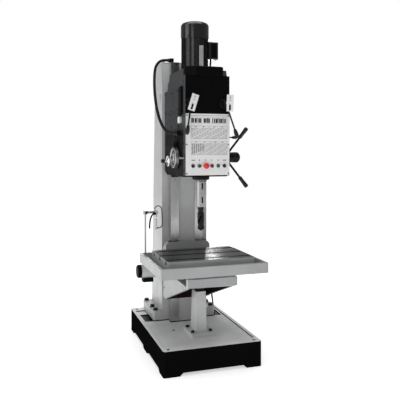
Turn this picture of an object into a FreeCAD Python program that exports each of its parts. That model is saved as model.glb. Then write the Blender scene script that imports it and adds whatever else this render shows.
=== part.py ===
import FreeCAD, Part
import math
import os
import Sketcher

# A floor-standing box-column drilling machine: base, column, lifting table and sliding drill head.
# Millimetres. +X is to the operator's right, +Y to the back, +Z up, origin under the base's centre.

V = FreeCAD.Vector
doc = FreeCAD.newDocument("column_drill")

SIZES = {
    # base casting
    "base_wide": 710, "base_deep": 1090, "base_tall": 175, "base_skin": 22, "base_corner": 16,
    "rim_side": 24, "rim_end": 88, "pan_depth": 8, "arch_tall": 22, "arch_slope": 26, "foot_long": 112,
    "bolt_edge_x": 43, "bolt_edge_y": 40, "foundation_bore": 11,
    "boss_round": 30,
    "well_wide": 66, "well_long": 196, "well_inset": 38, "well_y": 262,
    "well_ledge": 8,
    # column and its guide
    "way_front": 90, "way_wide": 260, "way_thick": 40, "strip_wide": 65, "neck_wide": 200,
    "body_front": 155, "body_wide": 370, "back_low": 505, "back_high": 375, "column_top": 2200,
    "column_wall": 16, "cap_thick": 6, "flange_wide": 508, "flange_back": 530, "flange_tall": 70,
    "foot_bolt": 12, "foot_head": 19, "foot_head_tall": 20, "foot_bolt_x": 230,
    # elevating screw housing
    "post_y": -210, "post_wide_top": 72, "post_wide_low": 84, "post_deep_top": 104,
    "post_deep_low": 132, "post_top": 482, "post_foot_wide": 178, "post_foot_deep": 226,
    "post_foot_tall": 28, "post_bore": 23, "post_bolt": 8, "post_head": 13, "nut_flange": 32,
    "nut_tall": 16, "screw_round": 17, "screw_low": 285,
    # knee, tray and table
    "slide_front": 59, "slide_wide": 357, "slide_low": 360, "slide_top": 800, "slide_corner": 40,
    "keeper_thick": 20, "web_thick": 22, "web_top": 578, "knee_front": -527, "knee_deck": 634,
    "apron_thick": 48, "neck_half": 118, "tray_wide": 770, "tray_front": -595, "tray_back": 63,
    "tray_low": 660, "tray_tall": 70, "tray_wall": 20, "tray_floor": 14, "table_wide": 622,
    "table_deep": 481, "table_front": -514, "table_top": 760, "slot_wide": 18, "slot_deep": 30,
    "slot_foot_wide": 30, "slot_foot_tall": 12, "slot_pitch": 169,
    # table lift motor
    "lift_y": 102, "lift_z": 580, "lift_round": 50, "lift_end": -396, "lift_cap_long": 30,
    "gearbox_long": 38,
    # coolant post
    "coolant_x": -330, "coolant_y": 106, "coolant_rod": 7, "coolant_top": 1030, "arm_z": 1030,
    "tap_x": -243, "nozzle_round": 6,
    # drill head
    "head_wide": 328, "head_front": -365, "head_low": 1322, "head_shoulder": 1965,
    "head_top": 2085, "head_wall": 24, "case_front": -412, "case_low": 1330, "case_top": 2036,
    "case_skin": 4, "panel_top": 1766, "panel_thick": 3, "cover_thick": 4, "hood_top": 2100,
    # spindle line
    "reach": 350, "quill_round": 44, "quill_low": 1290, "quill_top": 1700, "collar_round": 62,
    "spindle_nose": 36, "spindle_neck": 24, "nose_low": 1097, "taper_low": 1068,
    "drill_round": 25, "drill_tip": 924, "drift_wide": 11,
    # main motor
    "motor_y": -115, "motor_round": 96, "fin_tall": 6, "motor_low": 2100, "motor_tall": 250,
    "fan_round": 105, "fan_tall": 115, "shell": 4, "rotor_round": 66, "shaft_round": 14,
    # controls
    "lever_z": 1840, "left_lever_x": -134, "right_lever_x": 120, "stud_round": 8,
    "plate_wide": 50, "plate_tall": 117, "plate_gap": 70, "lever_long": 212, "lever_extra": 34,
    "lever_rod": 6, "knob_round": 15,
    "capstan_y": -210, "capstan_z": 1457, "capstan_hub": 38, "capstan_end": 318,
    "capstan_reach": 250, "capstan_shaft": 15, "arm_round": 8, "grip_round": 16, "grip_long": 92,
    "engage_y": -345, "engage_z": 1603, "engage_end": 250, "engage_bore": 42,
    "dial_round": 76, "dial_face": -200,
    "wheel_y": -72, "wheel_z": 1430, "wheel_round": 41, "wheel_end": -250,
    "button_first": -109, "button_pitch": 46.5, "button_z": 1400, "button_round": 11,
    "bezel_round": 15, "stop_round": 21,
    # cables
    "conduit_round": 11, "nose_long": 40, "gland_x": -100, "gland_back": 34, "gland_foot": 9,
    # fits
    "slip": 0.1, "run": 0.05, "air": 1,
}


class Size:
    """A length that keeps its number and the expression that ties it to the sheet."""

    def __init__(self, text, value):
        self.text = text
        self.value = float(value)

    def __add__(self, other):
        return combine(self, "+", other)

    def __radd__(self, other):
        return combine(other, "+", self)

    def __sub__(self, other):
        return combine(self, "-", other)

    def __rsub__(self, other):
        return combine(other, "-", self)

    def __mul__(self, other):
        return combine(self, "*", other)

    def __rmul__(self, other):
        return combine(other, "*", self)

    def __truediv__(self, other):
        return combine(self, "/", other)

    def __neg__(self):
        return combine(0, "-", self)


def as_size(thing):
    """Return a Size for a plain number, or the Size itself."""
    return thing if isinstance(thing, Size) else Size(f"{float(thing):.6f}", thing)


def combine(left, sign, right):
    """Return the Size of two sizes joined by an arithmetic sign."""
    left = as_size(left)
    right = as_size(right)
    if sign == "+":
        number = left.value + right.value
    elif sign == "-":
        number = left.value - right.value
    elif sign == "*":
        number = left.value * right.value
    else:
        number = left.value / right.value
    return Size(f"({left.text} {sign} {right.text})", number)


class Sheet:
    """The driving dimensions, each read as an attribute."""

    def __init__(self, table):
        cells = doc.addObject("Spreadsheet::Sheet", "Sizes")
        for row, (word, number) in enumerate(table.items(), start=1):
            cells.set(f"A{row}", word)
            cells.set(f"B{row}", str(number))
            cells.setAlias(f"B{row}", word)
            setattr(self, word, Size(f"Sizes.{word}", number))
        doc.recompute()


s = Sheet(SIZES)
NODES = []
TURNS = {
    "z": FreeCAD.Rotation(),
    "-z": FreeCAD.Rotation(V(1, 0, 0), 180),
    "x": FreeCAD.Rotation(V(0, 1, 0), 90),
    "-x": FreeCAD.Rotation(V(0, 1, 0), -90),
    "y": FreeCAD.Rotation(V(1, 0, 0), -90),
    "-y": FreeCAD.Rotation(V(1, 0, 0), 90),
}


def node(label, thing):
    """Name a finished sub-part and keep it for export."""
    thing.Label = label
    NODES.append(thing)
    return thing


def bind(thing, field, size):
    """Tie one property of an object to the sheet."""
    thing.setExpression(field, as_size(size).text)


def put(thing, at, turn=TURNS["z"]):
    """Turn an object and tie its place to the sheet."""
    thing.Placement = FreeCAD.Placement(V(*[as_size(part).value for part in at]), turn)
    for axis, part in zip("xyz", at):
        bind(thing, "Placement.Base." + axis, part)
    return thing


def block(name, low, high):
    """Return a box between two corners."""
    thing = doc.addObject("Part::Box", name)
    for field, near, far in zip(("Length", "Width", "Height"), low, high):
        bind(thing, field, far - near)
    return put(thing, low)


def rod(name, radius, length, at, way="z"):
    """Return a cylinder that starts at a point and runs along a named way."""
    thing = doc.addObject("Part::Cylinder", name)
    bind(thing, "Radius", radius)
    bind(thing, "Height", length)
    return put(thing, at, TURNS[way])


def cone(name, first, last, length, at, way="z"):
    """Return a cone from one radius to another."""
    thing = doc.addObject("Part::Cone", name)
    bind(thing, "Radius1", first)
    bind(thing, "Radius2", last)
    bind(thing, "Height", length)
    return put(thing, at, TURNS[way])


def hexagon(name, radius, length, at, way="z"):
    """Return a six-sided prism."""
    thing = doc.addObject("Part::Prism", name)
    thing.Polygon = 6
    bind(thing, "Circumradius", radius)
    bind(thing, "Height", length)
    return put(thing, at, TURNS[way])


def join(name, *parts):
    """Return the fused solid of several objects."""
    thing = doc.addObject("Part::MultiFuse", name)
    thing.Shapes = list(parts)
    thing.Refine = True
    return thing


def cut(name, base, *tools):
    """Return an object with others cut from it."""
    thing = doc.addObject("Part::Cut", name)
    thing.Base = base
    thing.Tool = tools[0] if len(tools) == 1 else join(name + "_tools", *tools)
    return thing


def group(name, parts):
    """Return separate solids kept together as one object."""
    thing = doc.addObject("Part::Compound", name)
    thing.Links = list(parts)
    return thing


def ring(name, outer, inner, length, at, way="z"):
    """Return a round sleeve."""
    return cut(
        name, rod(name + "_out", outer, length, at, way), rod(name + "_in", inner, length, at, way)
    )


def shell_box(name, low, high, skin, open_side):
    """Return a box with thin walls and one side left open, named by axis and sign."""
    inner_low = [part + skin for part in low]
    inner_high = [part - skin for part in high]
    axis = "xyz".index(open_side[1])
    if open_side[0] == "-":
        inner_low[axis] = low[axis]
    else:
        inner_high[axis] = high[axis]
    return cut(name, block(name + "_out", low, high), block(name + "_in", inner_low, inner_high))


def sketch_body(name, role, points):
    """Return a body and its closed sketch, whose corners are all tied to the sheet."""
    body = doc.addObject("PartDesign::Body", name)
    plane = [part for part in body.Origin.OriginFeatures if part.Role == role][0]
    sketch = body.newObject("Sketcher::SketchObject", name + "_sketch")
    sketch.AttachmentSupport = [(plane, "")]
    sketch.MapMode = "FlatFace"
    corners = [V(as_size(across).value, as_size(up).value, 0) for across, up in points]
    count = len(corners)
    for i in range(count):
        sketch.addGeometry(Part.LineSegment(corners[i], corners[(i + 1) % count]), False)
    for i in range(count):
        sketch.addConstraint(Sketcher.Constraint("Coincident", i, 2, (i + 1) % count, 1))
    for i, (across, up) in enumerate(points):
        for kind, part in (("DistanceX", across), ("DistanceY", up)):
            spot = sketch.addConstraint(Sketcher.Constraint(kind, -1, 1, i, 1, as_size(part).value))
            sketch.setExpression(f"Constraints[{spot}]", as_size(part).text)
    return body, sketch


def outline(name, role, points, thick, at):
    """Return a plate padded from an outline: YZ runs along +X, XY along +Z and XZ along -Y."""
    body, sketch = sketch_body(name, role, points)
    pad = body.newObject("PartDesign::Pad", name + "_pad")
    pad.Profile = sketch
    bind(pad, "Length", thick)
    body.Tip = pad
    return put(body, at)


def turned(name, points, at, way="z"):
    """Return a body turned about its own axis from points of radius and height."""
    body, sketch = sketch_body(name, "XZ_Plane", points)
    turn = body.newObject("PartDesign::Revolution", name + "_turn")
    turn.Profile = sketch
    turn.ReferenceAxis = (sketch, ["V_Axis"])
    turn.Angle = 360
    body.Tip = turn
    return put(body, at, TURNS[way])


def along(direction):
    """Return a test for straight edges that run one way."""

    def test(edge):
        if edge.Curve.TypeId != "Part::GeomLine":
            return False
        return abs(abs(edge.Curve.Direction.dot(direction)) - 1) < 1e-6

    return test


def rounded(name, base, radius, test):
    """Return an object with the chosen edges filleted."""
    doc.recompute()
    thing = doc.addObject("Part::Fillet", name)
    thing.Base = base
    size = as_size(radius).value
    picked = [i for i, edge in enumerate(base.Shape.Edges, start=1) if test(edge)]
    thing.Edges = [(i, size, size) for i in picked]
    return thing


def mid(edge):
    """Return the middle of an edge."""
    return edge.valueAt((edge.FirstParameter + edge.LastParameter) / 2)


def shape_node(label, shape):
    """Keep a shape made by Part's own functions as a sub-part."""
    thing = doc.addObject("Part::Feature", label)
    thing.Shape = shape
    thing.Placement = FreeCAD.Placement()
    return node(label, thing)


def cord(label, points, radius):
    """Return a tube of straight runs joined by tangent arcs, and print its bend radii."""
    points = [V(*point) for point in points]
    edges = []
    start = points[0]
    bends = []
    for i in range(1, len(points) - 1):
        back = points[i - 1] - points[i]
        ahead = points[i + 1] - points[i]
        short = min(back.Length, ahead.Length)
        turn = math.pi - back.getAngle(ahead)
        take = 0.45 * short
        bend = take / math.tan(turn / 2)
        back.normalize()
        ahead.normalize()
        first = points[i] + back * take
        last = points[i] + ahead * take
        middle = back + ahead
        middle.normalize()
        centre = points[i] + middle * math.hypot(bend, take)
        edges.append(Part.LineSegment(start, first).toShape())
        edges.append(Part.Arc(first, centre - middle * bend, last).toShape())
        start = last
        bends.append(round(bend))
    edges.append(Part.LineSegment(start, points[-1]).toShape())
    path = Part.Wire(edges)
    section = Part.Wire([Part.makeCircle(radius, points[0], points[1] - points[0])])
    tube = path.makePipeShell([section], True, False)
    share = tube.Volume / (math.pi * radius * radius * path.Length)
    print(f"{label}: length {path.Length:.0f}, radii {bends}, volume share {share:.4f}")
    return shape_node(label, tube)


# ---------------------------------------------------------------- shared places

half_base_x = s.base_wide / 2
half_base_y = s.base_deep / 2
spindle_y = s.way_front - s.reach
way_back = s.way_front + s.way_thick
half_head = s.head_wide / 2
half_slide = s.slide_wide / 2
half_way = s.way_wide / 2
half_neck = s.neck_wide / 2
column_foot = s.base_tall
flange_top = s.base_tall + s.flange_tall
foot_bolt_rows = (s.body_front + 30, s.body_front + 140, s.flange_back - 32)
post_foot_top = s.base_tall - s.pan_depth + s.post_foot_tall
post_bolt_x = s.post_foot_wide / 2 - 22
post_bolt_y = s.post_foot_deep / 2 - 46
panel_face = s.case_front - s.panel_thick
signs = (-1, 1)
corner_signs = ((-1, -1), (1, -1), (-1, 1), (1, 1))


# ---------------------------------------------------------------- base


def arch_points(middle, reach):
    """Return the outline of a low arch with sloping ends."""
    inner = reach - s.arch_slope
    return [
        (middle - reach, as_size(-1)),
        (middle + reach, as_size(-1)),
        (middle + inner, s.arch_tall),
        (middle - inner, s.arch_tall),
    ]


def make_base():
    """The hollow ribbed base casting, with its pan, wells and foundation holes."""
    block_out = block(
        "base_out", (-half_base_x, -half_base_y, as_size(0)), (half_base_x, half_base_y, s.base_tall)
    )
    body = rounded("base_round", block_out, s.base_corner, along(V(0, 0, 1)))
    pan_x = half_base_x - s.rim_side
    pan_y = half_base_y - s.rim_end
    cells = []
    cell_x = (s.base_wide - 4 * s.base_skin) / 3
    cell_y = (s.base_deep - 6 * s.base_skin) / 5
    ceiling = s.base_tall - s.pan_depth - s.base_skin
    for column in range(3):
        for row in range(5):
            x = -half_base_x + s.base_skin + (cell_x + s.base_skin) * column
            y = -half_base_y + s.base_skin + (cell_y + s.base_skin) * row
            cells.append(
                block(f"cell_{column}{row}", (x, y, as_size(-1)), (x + cell_x, y + cell_y, ceiling))
            )
    bosses = []
    for side, end in corner_signs:
        at = (side * (half_base_x - s.bolt_edge_x), end * (half_base_y - s.bolt_edge_y), as_size(0))
        bosses.append(rod(f"boss{side}{end}", s.boss_round, ceiling + 1, at))
    body = join("base_bossed", cut("base_hollow", body, *cells), *bosses)
    pan_low = s.base_tall - s.pan_depth
    pan_full = block("pan_full", (-pan_x, -pan_y, pan_low), (pan_x, pan_y, s.base_tall + s.air))
    flange_x = s.flange_wide / 2
    seat_top = s.base_tall + s.air + 1
    seat = block("seat", (-flange_x, s.body_front, pan_low - 1), (flange_x, s.flange_back, seat_top))
    tongue = block("seat_tongue", (-half_way, s.way_front, pan_low - 1), (half_way, s.body_front, seat_top))
    tools = [cut("pan", pan_full, seat, tongue)]
    inner_x = half_base_x - s.foot_long
    inner_y = half_base_y - s.foot_long
    front = arch_points(as_size(0), inner_x)
    tools.append(
        outline("arch_front", "XZ_Plane", front, s.base_deep + 2, (as_size(0), half_base_y + 1, as_size(0)))
    )
    for side in signs:
        middle = side * (inner_y + s.foot_long / 2) / 2
        reach = (inner_y - s.foot_long / 2) / 2
        at = (-half_base_x - 1, as_size(0), as_size(0))
        points = arch_points(middle, reach)
        tools.append(outline(f"arch_side{side}", "YZ_Plane", points, s.base_wide + 2, at))
        inner = side * (half_base_x - s.well_inset - s.well_wide / 2)
        low = (inner - s.well_wide / 2, s.well_y - s.well_long / 2, ceiling + s.well_ledge)
        high = (inner + s.well_wide / 2, s.well_y + s.well_long / 2, s.base_tall + 1)
        tools.append(block(f"well{side}", low, high))
        low = (inner - s.well_wide / 2 + 8, s.well_y - s.well_long / 2 + 8, ceiling - 1)
        high = (inner + s.well_wide / 2 - 8, s.well_y + s.well_long / 2 - 8, s.base_tall)
        tools.append(block(f"well_throat{side}", low, high))
    for side, end in corner_signs:
        at = (side * (half_base_x - s.bolt_edge_x), end * (half_base_y - s.bolt_edge_y), as_size(-1))
        tools.append(rod(f"foundation{side}{end}", s.foundation_bore, s.base_tall + 2, at))
    for side in signs:
        for row, y in enumerate(foot_bolt_rows):
            at = (side * s.foot_bolt_x, y, s.base_tall - s.base_skin)
            tools.append(rod(f"stud{side}{row}", s.foot_bolt, s.base_skin + 1, at))
    for side, end in corner_signs:
        at = (side * post_bolt_x, s.post_y + end * post_bolt_y, s.base_tall - s.base_skin)
        tools.append(rod(f"post_stud{side}{end}", s.post_bolt, s.base_skin + 1, at))
    at = (as_size(0), s.post_y, s.arch_tall)
    tools.append(rod("screw_pit", s.post_bore, s.base_tall, at))
    node("base_casting", cut("base_cut", body, *tools))


# ---------------------------------------------------------------- column


def back_at(z):
    """Return the y of the column's sloping back at a height."""
    rise = (z - column_foot) / (s.column_top - column_foot)
    return s.back_low - (s.back_low - s.back_high) * rise


def make_column():
    """The ribbed box column, its foot flange and the neck and rail of the guide."""
    half_body = s.body_wide / 2
    side = [
        (s.body_front, s.base_tall),
        (s.back_low, s.base_tall),
        (s.back_high, s.column_top),
        (s.body_front, s.column_top),
    ]
    shell = outline("column_out", "YZ_Plane", side, s.body_wide, (-half_body, as_size(0), as_size(0)))
    wall = s.column_wall
    hollow = [
        (s.body_front + wall, s.base_tall - 1),
        (s.back_low - wall, s.base_tall - 1),
        (s.back_high - wall, s.column_top + 1),
        (s.body_front + wall, s.column_top + 1),
    ]
    cell = half_body - wall * 1.5
    left = outline(
        "column_cell_left", "YZ_Plane", hollow, cell, (-half_body + wall, as_size(0), as_size(0))
    )
    right = outline("column_cell_right", "YZ_Plane", hollow, cell, (wall / 2, as_size(0), as_size(0)))
    neck = block(
        "guide_neck", (-half_neck, way_back, s.base_tall), (half_neck, s.body_front, s.column_top)
    )
    rail_low = (-half_way + s.strip_wide, s.way_front + 6, s.base_tall)
    rail = block("guide_rail", rail_low, (half_way - s.strip_wide, way_back, s.column_top))
    flange_x = s.flange_wide / 2
    flange = block(
        "column_flange", (-flange_x, s.body_front, s.base_tall), (flange_x, s.flange_back, flange_top)
    )
    flange = rounded("flange_round", flange, 14, along(V(0, 0, 1)))
    holes = []
    for side_sign in signs:
        for row, y in enumerate(foot_bolt_rows):
            at = (side_sign * s.foot_bolt_x, y, s.base_tall - 1)
            holes.append(rod(f"flange_hole{side_sign}{row}", s.foot_bolt + 1, s.flange_tall + 2, at))
    body = join("column_join", shell, neck, rail, flange)
    return node("column_casting", cut("column_cut", body, left, right, *holes))


def make_column_trim():
    """The ground guide strips, the top cap, the rear cover and the foot bolts."""
    strips = []
    for side in signs:
        inner = side * (half_way - s.strip_wide)
        outer = side * half_way
        low, high = (outer, inner) if side < 0 else (inner, outer)
        strips.append(
            block(f"strip{side}", (low, s.way_front, s.base_tall), (high, way_back, s.column_top))
        )
    node("guide_strips", group("strips", strips))
    half_body = s.body_wide / 2
    low = (-half_body, s.body_front - 4, s.column_top)
    cap = block("cap_plate", low, (half_body, s.back_high + 4, s.column_top + s.cap_thick))
    at = (s.gland_x, s.body_front + s.gland_back, s.column_top - 1)
    hole = rod("cap_hole", s.gland_foot + 0.2, s.cap_thick + 2, at)
    node("column_cap", cut("cap_cut", cap, hole))
    low_z = s.base_tall + 300
    high_z = s.base_tall + 1000
    points = [
        (back_at(low_z), low_z),
        (back_at(low_z) + 5, low_z),
        (back_at(high_z) + 5, high_z),
        (back_at(high_z), high_z),
    ]
    cover_x = s.body_wide / 2 - 30
    node(
        "rear_cover",
        outline("rear_plate", "YZ_Plane", points, cover_x * 2, (-cover_x, as_size(0), as_size(0)))
    )
    bolts = []
    for side in signs:
        for row, y in enumerate(foot_bolt_rows):
            x = side * s.foot_bolt_x
            shank = rod(f"shank{side}{row}", s.foot_bolt - 0.1, s.flange_tall + s.base_skin - 4,
                        (x, y, s.base_tall - s.base_skin + 4))
            head = hexagon(f"hex{side}{row}", s.foot_head, s.foot_head_tall, (x, y, flange_top))
            bolts.append(join(f"foot_bolt{side}{row}", shank, head))
    node("column_bolts", group("foot_bolts", bolts))


# ---------------------------------------------------------------- elevating screw and its housing


def make_pedestal():
    """The tapering screw housing on the base, its bolts, the nut and the elevating screw."""
    floor = s.base_tall - s.pan_depth
    foot_x = s.post_foot_wide / 2
    foot_y = s.post_foot_deep / 2
    foot = block(
        "post_foot", (-foot_x, s.post_y - foot_y, floor), (foot_x, s.post_y + foot_y, post_foot_top)
    )
    foot = rounded("post_foot_round", foot, 10, along(V(0, 0, 1)))
    side = [
        (s.post_y - s.post_deep_low / 2, floor + 2),
        (s.post_y + s.post_deep_low / 2, floor + 2),
        (s.post_y + s.post_deep_top / 2, s.post_top),
        (s.post_y - s.post_deep_top / 2, s.post_top),
    ]
    front = [
        (-s.post_wide_low / 2, floor + 2),
        (s.post_wide_low / 2, floor + 2),
        (s.post_wide_top / 2, s.post_top),
        (-s.post_wide_top / 2, s.post_top),
    ]
    deep = outline("post_side", "YZ_Plane", side, s.post_foot_wide, (-foot_x, as_size(0), as_size(0)))
    wide = outline(
        "post_front", "XZ_Plane", front, s.post_foot_deep, (as_size(0), s.post_y + foot_y, as_size(0))
    )
    shaft = doc.addObject("Part::Common", "post_shaft")
    shaft.Base = deep
    shaft.Tool = wide
    tools = [rod("post_core", s.post_bore, s.post_top, (as_size(0), s.post_y, floor - 1))]
    for x_sign, y_sign in corner_signs:
        at = (x_sign * post_bolt_x, s.post_y + y_sign * post_bolt_y, floor - 1)
        tools.append(rod(f"post_hole{x_sign}{y_sign}", s.post_bolt + 0.5, s.post_foot_tall + 2, at))
    node("screw_housing", cut("post_cut", join("post_join", foot, shaft), *tools))
    bolts = []
    for x_sign, y_sign in corner_signs:
        x = x_sign * post_bolt_x
        y = s.post_y + y_sign * post_bolt_y
        shank = rod(
            f"post_shank{x_sign}{y_sign}", s.post_bolt - 0.1, s.post_foot_tall + 14, (x, y, floor - 14)
        )
        head = hexagon(f"post_hex{x_sign}{y_sign}", s.post_head, s.post_head, (x, y, post_foot_top))
        bolts.append(join(f"post_bolt{x_sign}{y_sign}", shank, head))
    node("housing_bolts", group("post_bolts", bolts))
    nut_bore = s.screw_round + s.run
    points = [
        (nut_bore, s.post_top - 60),
        (s.post_bore - 0.1, s.post_top - 60),
        (s.post_bore - 0.1, s.post_top),
        (s.nut_flange, s.post_top),
        (s.nut_flange, s.post_top + s.nut_tall),
        (nut_bore, s.post_top + s.nut_tall),
    ]
    node("lift_nut", turned("nut_turned", points, (as_size(0), s.post_y, as_size(0))))
    screw_top = s.knee_deck - s.slip
    points = [
        (as_size(0), s.screw_low),
        (s.screw_round - 3, s.screw_low),
        (s.screw_round, s.screw_low + 3),
        (s.screw_round, screw_top),
        (as_size(0), screw_top),
    ]
    node("lift_screw", turned("screw_turned", points, (as_size(0), s.post_y, as_size(0))))


# ---------------------------------------------------------------- knee


def make_knee():
    """The knee casting: a slide that wraps the guide, two webs, an apron and the deck."""
    slide = block(
        "slide_block", (-half_slide, s.slide_front, s.slide_low), (half_slide, way_back, s.slide_top)
    )
    slide = rounded("slide_round", slide, s.slide_corner,
                    lambda edge: along(V(0, 1, 0))(edge) and mid(edge).z > s.slide_top.value - 1)
    channel_low = (-half_way - s.slip, s.way_front - s.slip, s.slide_low - 1)
    channel = block("knee_channel", channel_low, (half_way + s.slip, way_back + 1, s.slide_top + 1))
    web_profile = [
        (s.knee_front, s.web_top - 2),
        (s.knee_front, s.knee_deck),
        (s.slide_front + 1, s.knee_deck),
        (s.slide_front + 1, s.slide_low + 6),
    ]
    wedge = outline(
        "knee_wedge", "YZ_Plane", web_profile, s.slide_wide, (-half_slide, as_size(0), as_size(0))
    )
    inner_x = half_slide - s.web_thick
    hollow_low = (-inner_x, s.knee_front + s.web_thick, s.slide_low - 1)
    hollow = block("knee_hollow", hollow_low, (inner_x, s.slide_front, s.web_top - 16))
    attic_low = (-s.neck_half + s.web_thick, s.knee_front + s.apron_thick, s.web_top - 17)
    attic = block("knee_attic", attic_low, (s.neck_half - s.web_thick, s.slide_front, s.knee_deck))
    recesses = []
    for side in signs:
        inner = side * s.neck_half
        outer = side * (half_slide + 1)
        low, high = (outer, inner) if side < 0 else (inner, outer)
        back = s.slide_front - 26
        recesses.append(
            block(
                f"recess{side}", (low, s.knee_front + s.apron_thick, s.web_top), (high, back, s.tray_low)
            )
        )
    deck_low = (-s.neck_half, s.knee_front + 20, s.knee_deck)
    deck = block("knee_deck_plate", deck_low, (s.neck_half, s.slide_front + 1, s.tray_low))
    body = join("knee_join", slide, wedge, deck)
    node("knee_casting", cut("knee_cut", body, channel, hollow, attic, *recesses))
    keepers = []
    for side in signs:
        inner = side * (half_neck + s.slip * 10)
        outer = side * half_slide
        low, high = (outer, inner) if side < 0 else (inner, outer)
        back = way_back + s.slip + s.keeper_thick
        keepers.append(
            block(
                f"knee_keeper{side}", (low, way_back + s.slip, s.slide_low),
                (high, back, s.slide_top - 50)
            )
        )
    node("knee_keepers", group("knee_keeper_pair", keepers))


def make_table():
    """The coolant tray and the slotted table plate that stands in it."""
    half_tray = s.tray_wide / 2
    tray_top = s.tray_low + s.tray_tall
    out = block("tray_out", (-half_tray, s.tray_front, s.tray_low), (half_tray, s.tray_back, tray_top))
    out = rounded("tray_round", out, 8, along(V(0, 0, 1)))
    wall = s.tray_wall
    inner_low = (-half_tray + wall, s.tray_front + wall, s.tray_low + s.tray_floor)
    pan = block("tray_pan", inner_low, (half_tray - wall, s.tray_back - wall, tray_top + 1))
    slide_gap = block("tray_gap", (-half_slide - 1, s.slide_front - s.slip * 5, s.tray_low - 1),
                      (half_slide + 1, s.tray_back + 1, tray_top + 1))
    node("coolant_tray", cut("tray_cut", out, pan, slide_gap))
    half_table = s.table_wide / 2
    table_low = s.tray_low + s.tray_floor
    back = s.table_front + s.table_deep
    plate = block("table_out", (-half_table, s.table_front, table_low), (half_table, back, s.table_top))
    plate = rounded("table_round", plate, 3, along(V(0, 0, 1)))
    tools = []
    middle = s.table_front + s.table_deep / 2
    for i in (-1, 0, 1):
        y = middle + i * s.slot_pitch
        neck_low = (-half_table - 1, y - s.slot_wide / 2, s.table_top - s.slot_deep)
        tools.append(
            block(f"slot_neck{i}", neck_low, (half_table + 1, y + s.slot_wide / 2, s.table_top + 1))
        )
        foot_low = (-half_table - 1, y - s.slot_foot_wide / 2, s.table_top - s.slot_deep)
        foot_top = s.table_top - s.slot_deep + s.slot_foot_tall
        tools.append(
            block(f"slot_foot{i}", foot_low, (half_table + 1, y + s.slot_foot_wide / 2, foot_top))
        )
    node("table_plate", cut("table_cut", plate, *tools))


def make_lift_motor():
    """The table lift's gearbox, motor, end cap and terminal box, on the knee's left side."""
    gear_end = -half_slide - s.gearbox_long
    low = (gear_end, s.lift_y - 42, s.lift_z - 52)
    gearbox = block("gearbox_out", low, (-half_slide, s.lift_y + 42, s.lift_z + 52))
    node("lift_gearbox", rounded("gearbox_round", gearbox, 10, along(V(1, 0, 0))))
    long = gear_end - s.lift_end - s.lift_cap_long
    body = rod("lift_body", s.lift_round - 4, long, (gear_end, s.lift_y, s.lift_z), "-x")
    fins = [body]
    for i in range(24):
        turn = FreeCAD.Rotation(V(1, 0, 0), i * 15)
        fin = doc.addObject("Part::Box", f"lift_fin{i}")
        bind(fin, "Length", long - 16)
        bind(fin, "Width", 2.4)
        bind(fin, "Height", s.lift_round)
        spot = turn.multVec(V(0, -1.2, 0))
        fin.Placement = FreeCAD.Placement(V(), turn)
        bind(fin, "Placement.Base.x", gear_end - long + 8)
        bind(fin, "Placement.Base.y", s.lift_y + spot.y)
        bind(fin, "Placement.Base.z", s.lift_z + spot.z)
        fins.append(fin)
    node("lift_motor", join("lift_motor_join", *fins))
    cap_face = gear_end - long
    points = [
        (as_size(0), as_size(0)),
        (s.lift_round + 1, as_size(0)),
        (s.lift_round + 1, s.lift_cap_long - 8),
        (s.lift_round - 7, s.lift_cap_long),
        (as_size(0), s.lift_cap_long),
    ]
    node("lift_motor_cap", turned("lift_cap_turned", points, (cap_face, s.lift_y, s.lift_z), "-x"))
    box_top = s.lift_z - s.lift_round - 0.2
    box = block(
        "lift_box_out", (cap_face + 12, s.lift_y - 34, box_top - 30),
        (cap_face + 92, s.lift_y + 34, box_top)
    )
    node("lift_terminal_box", rounded("lift_box_round", box, 5, along(V(0, 0, 1))))


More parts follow.
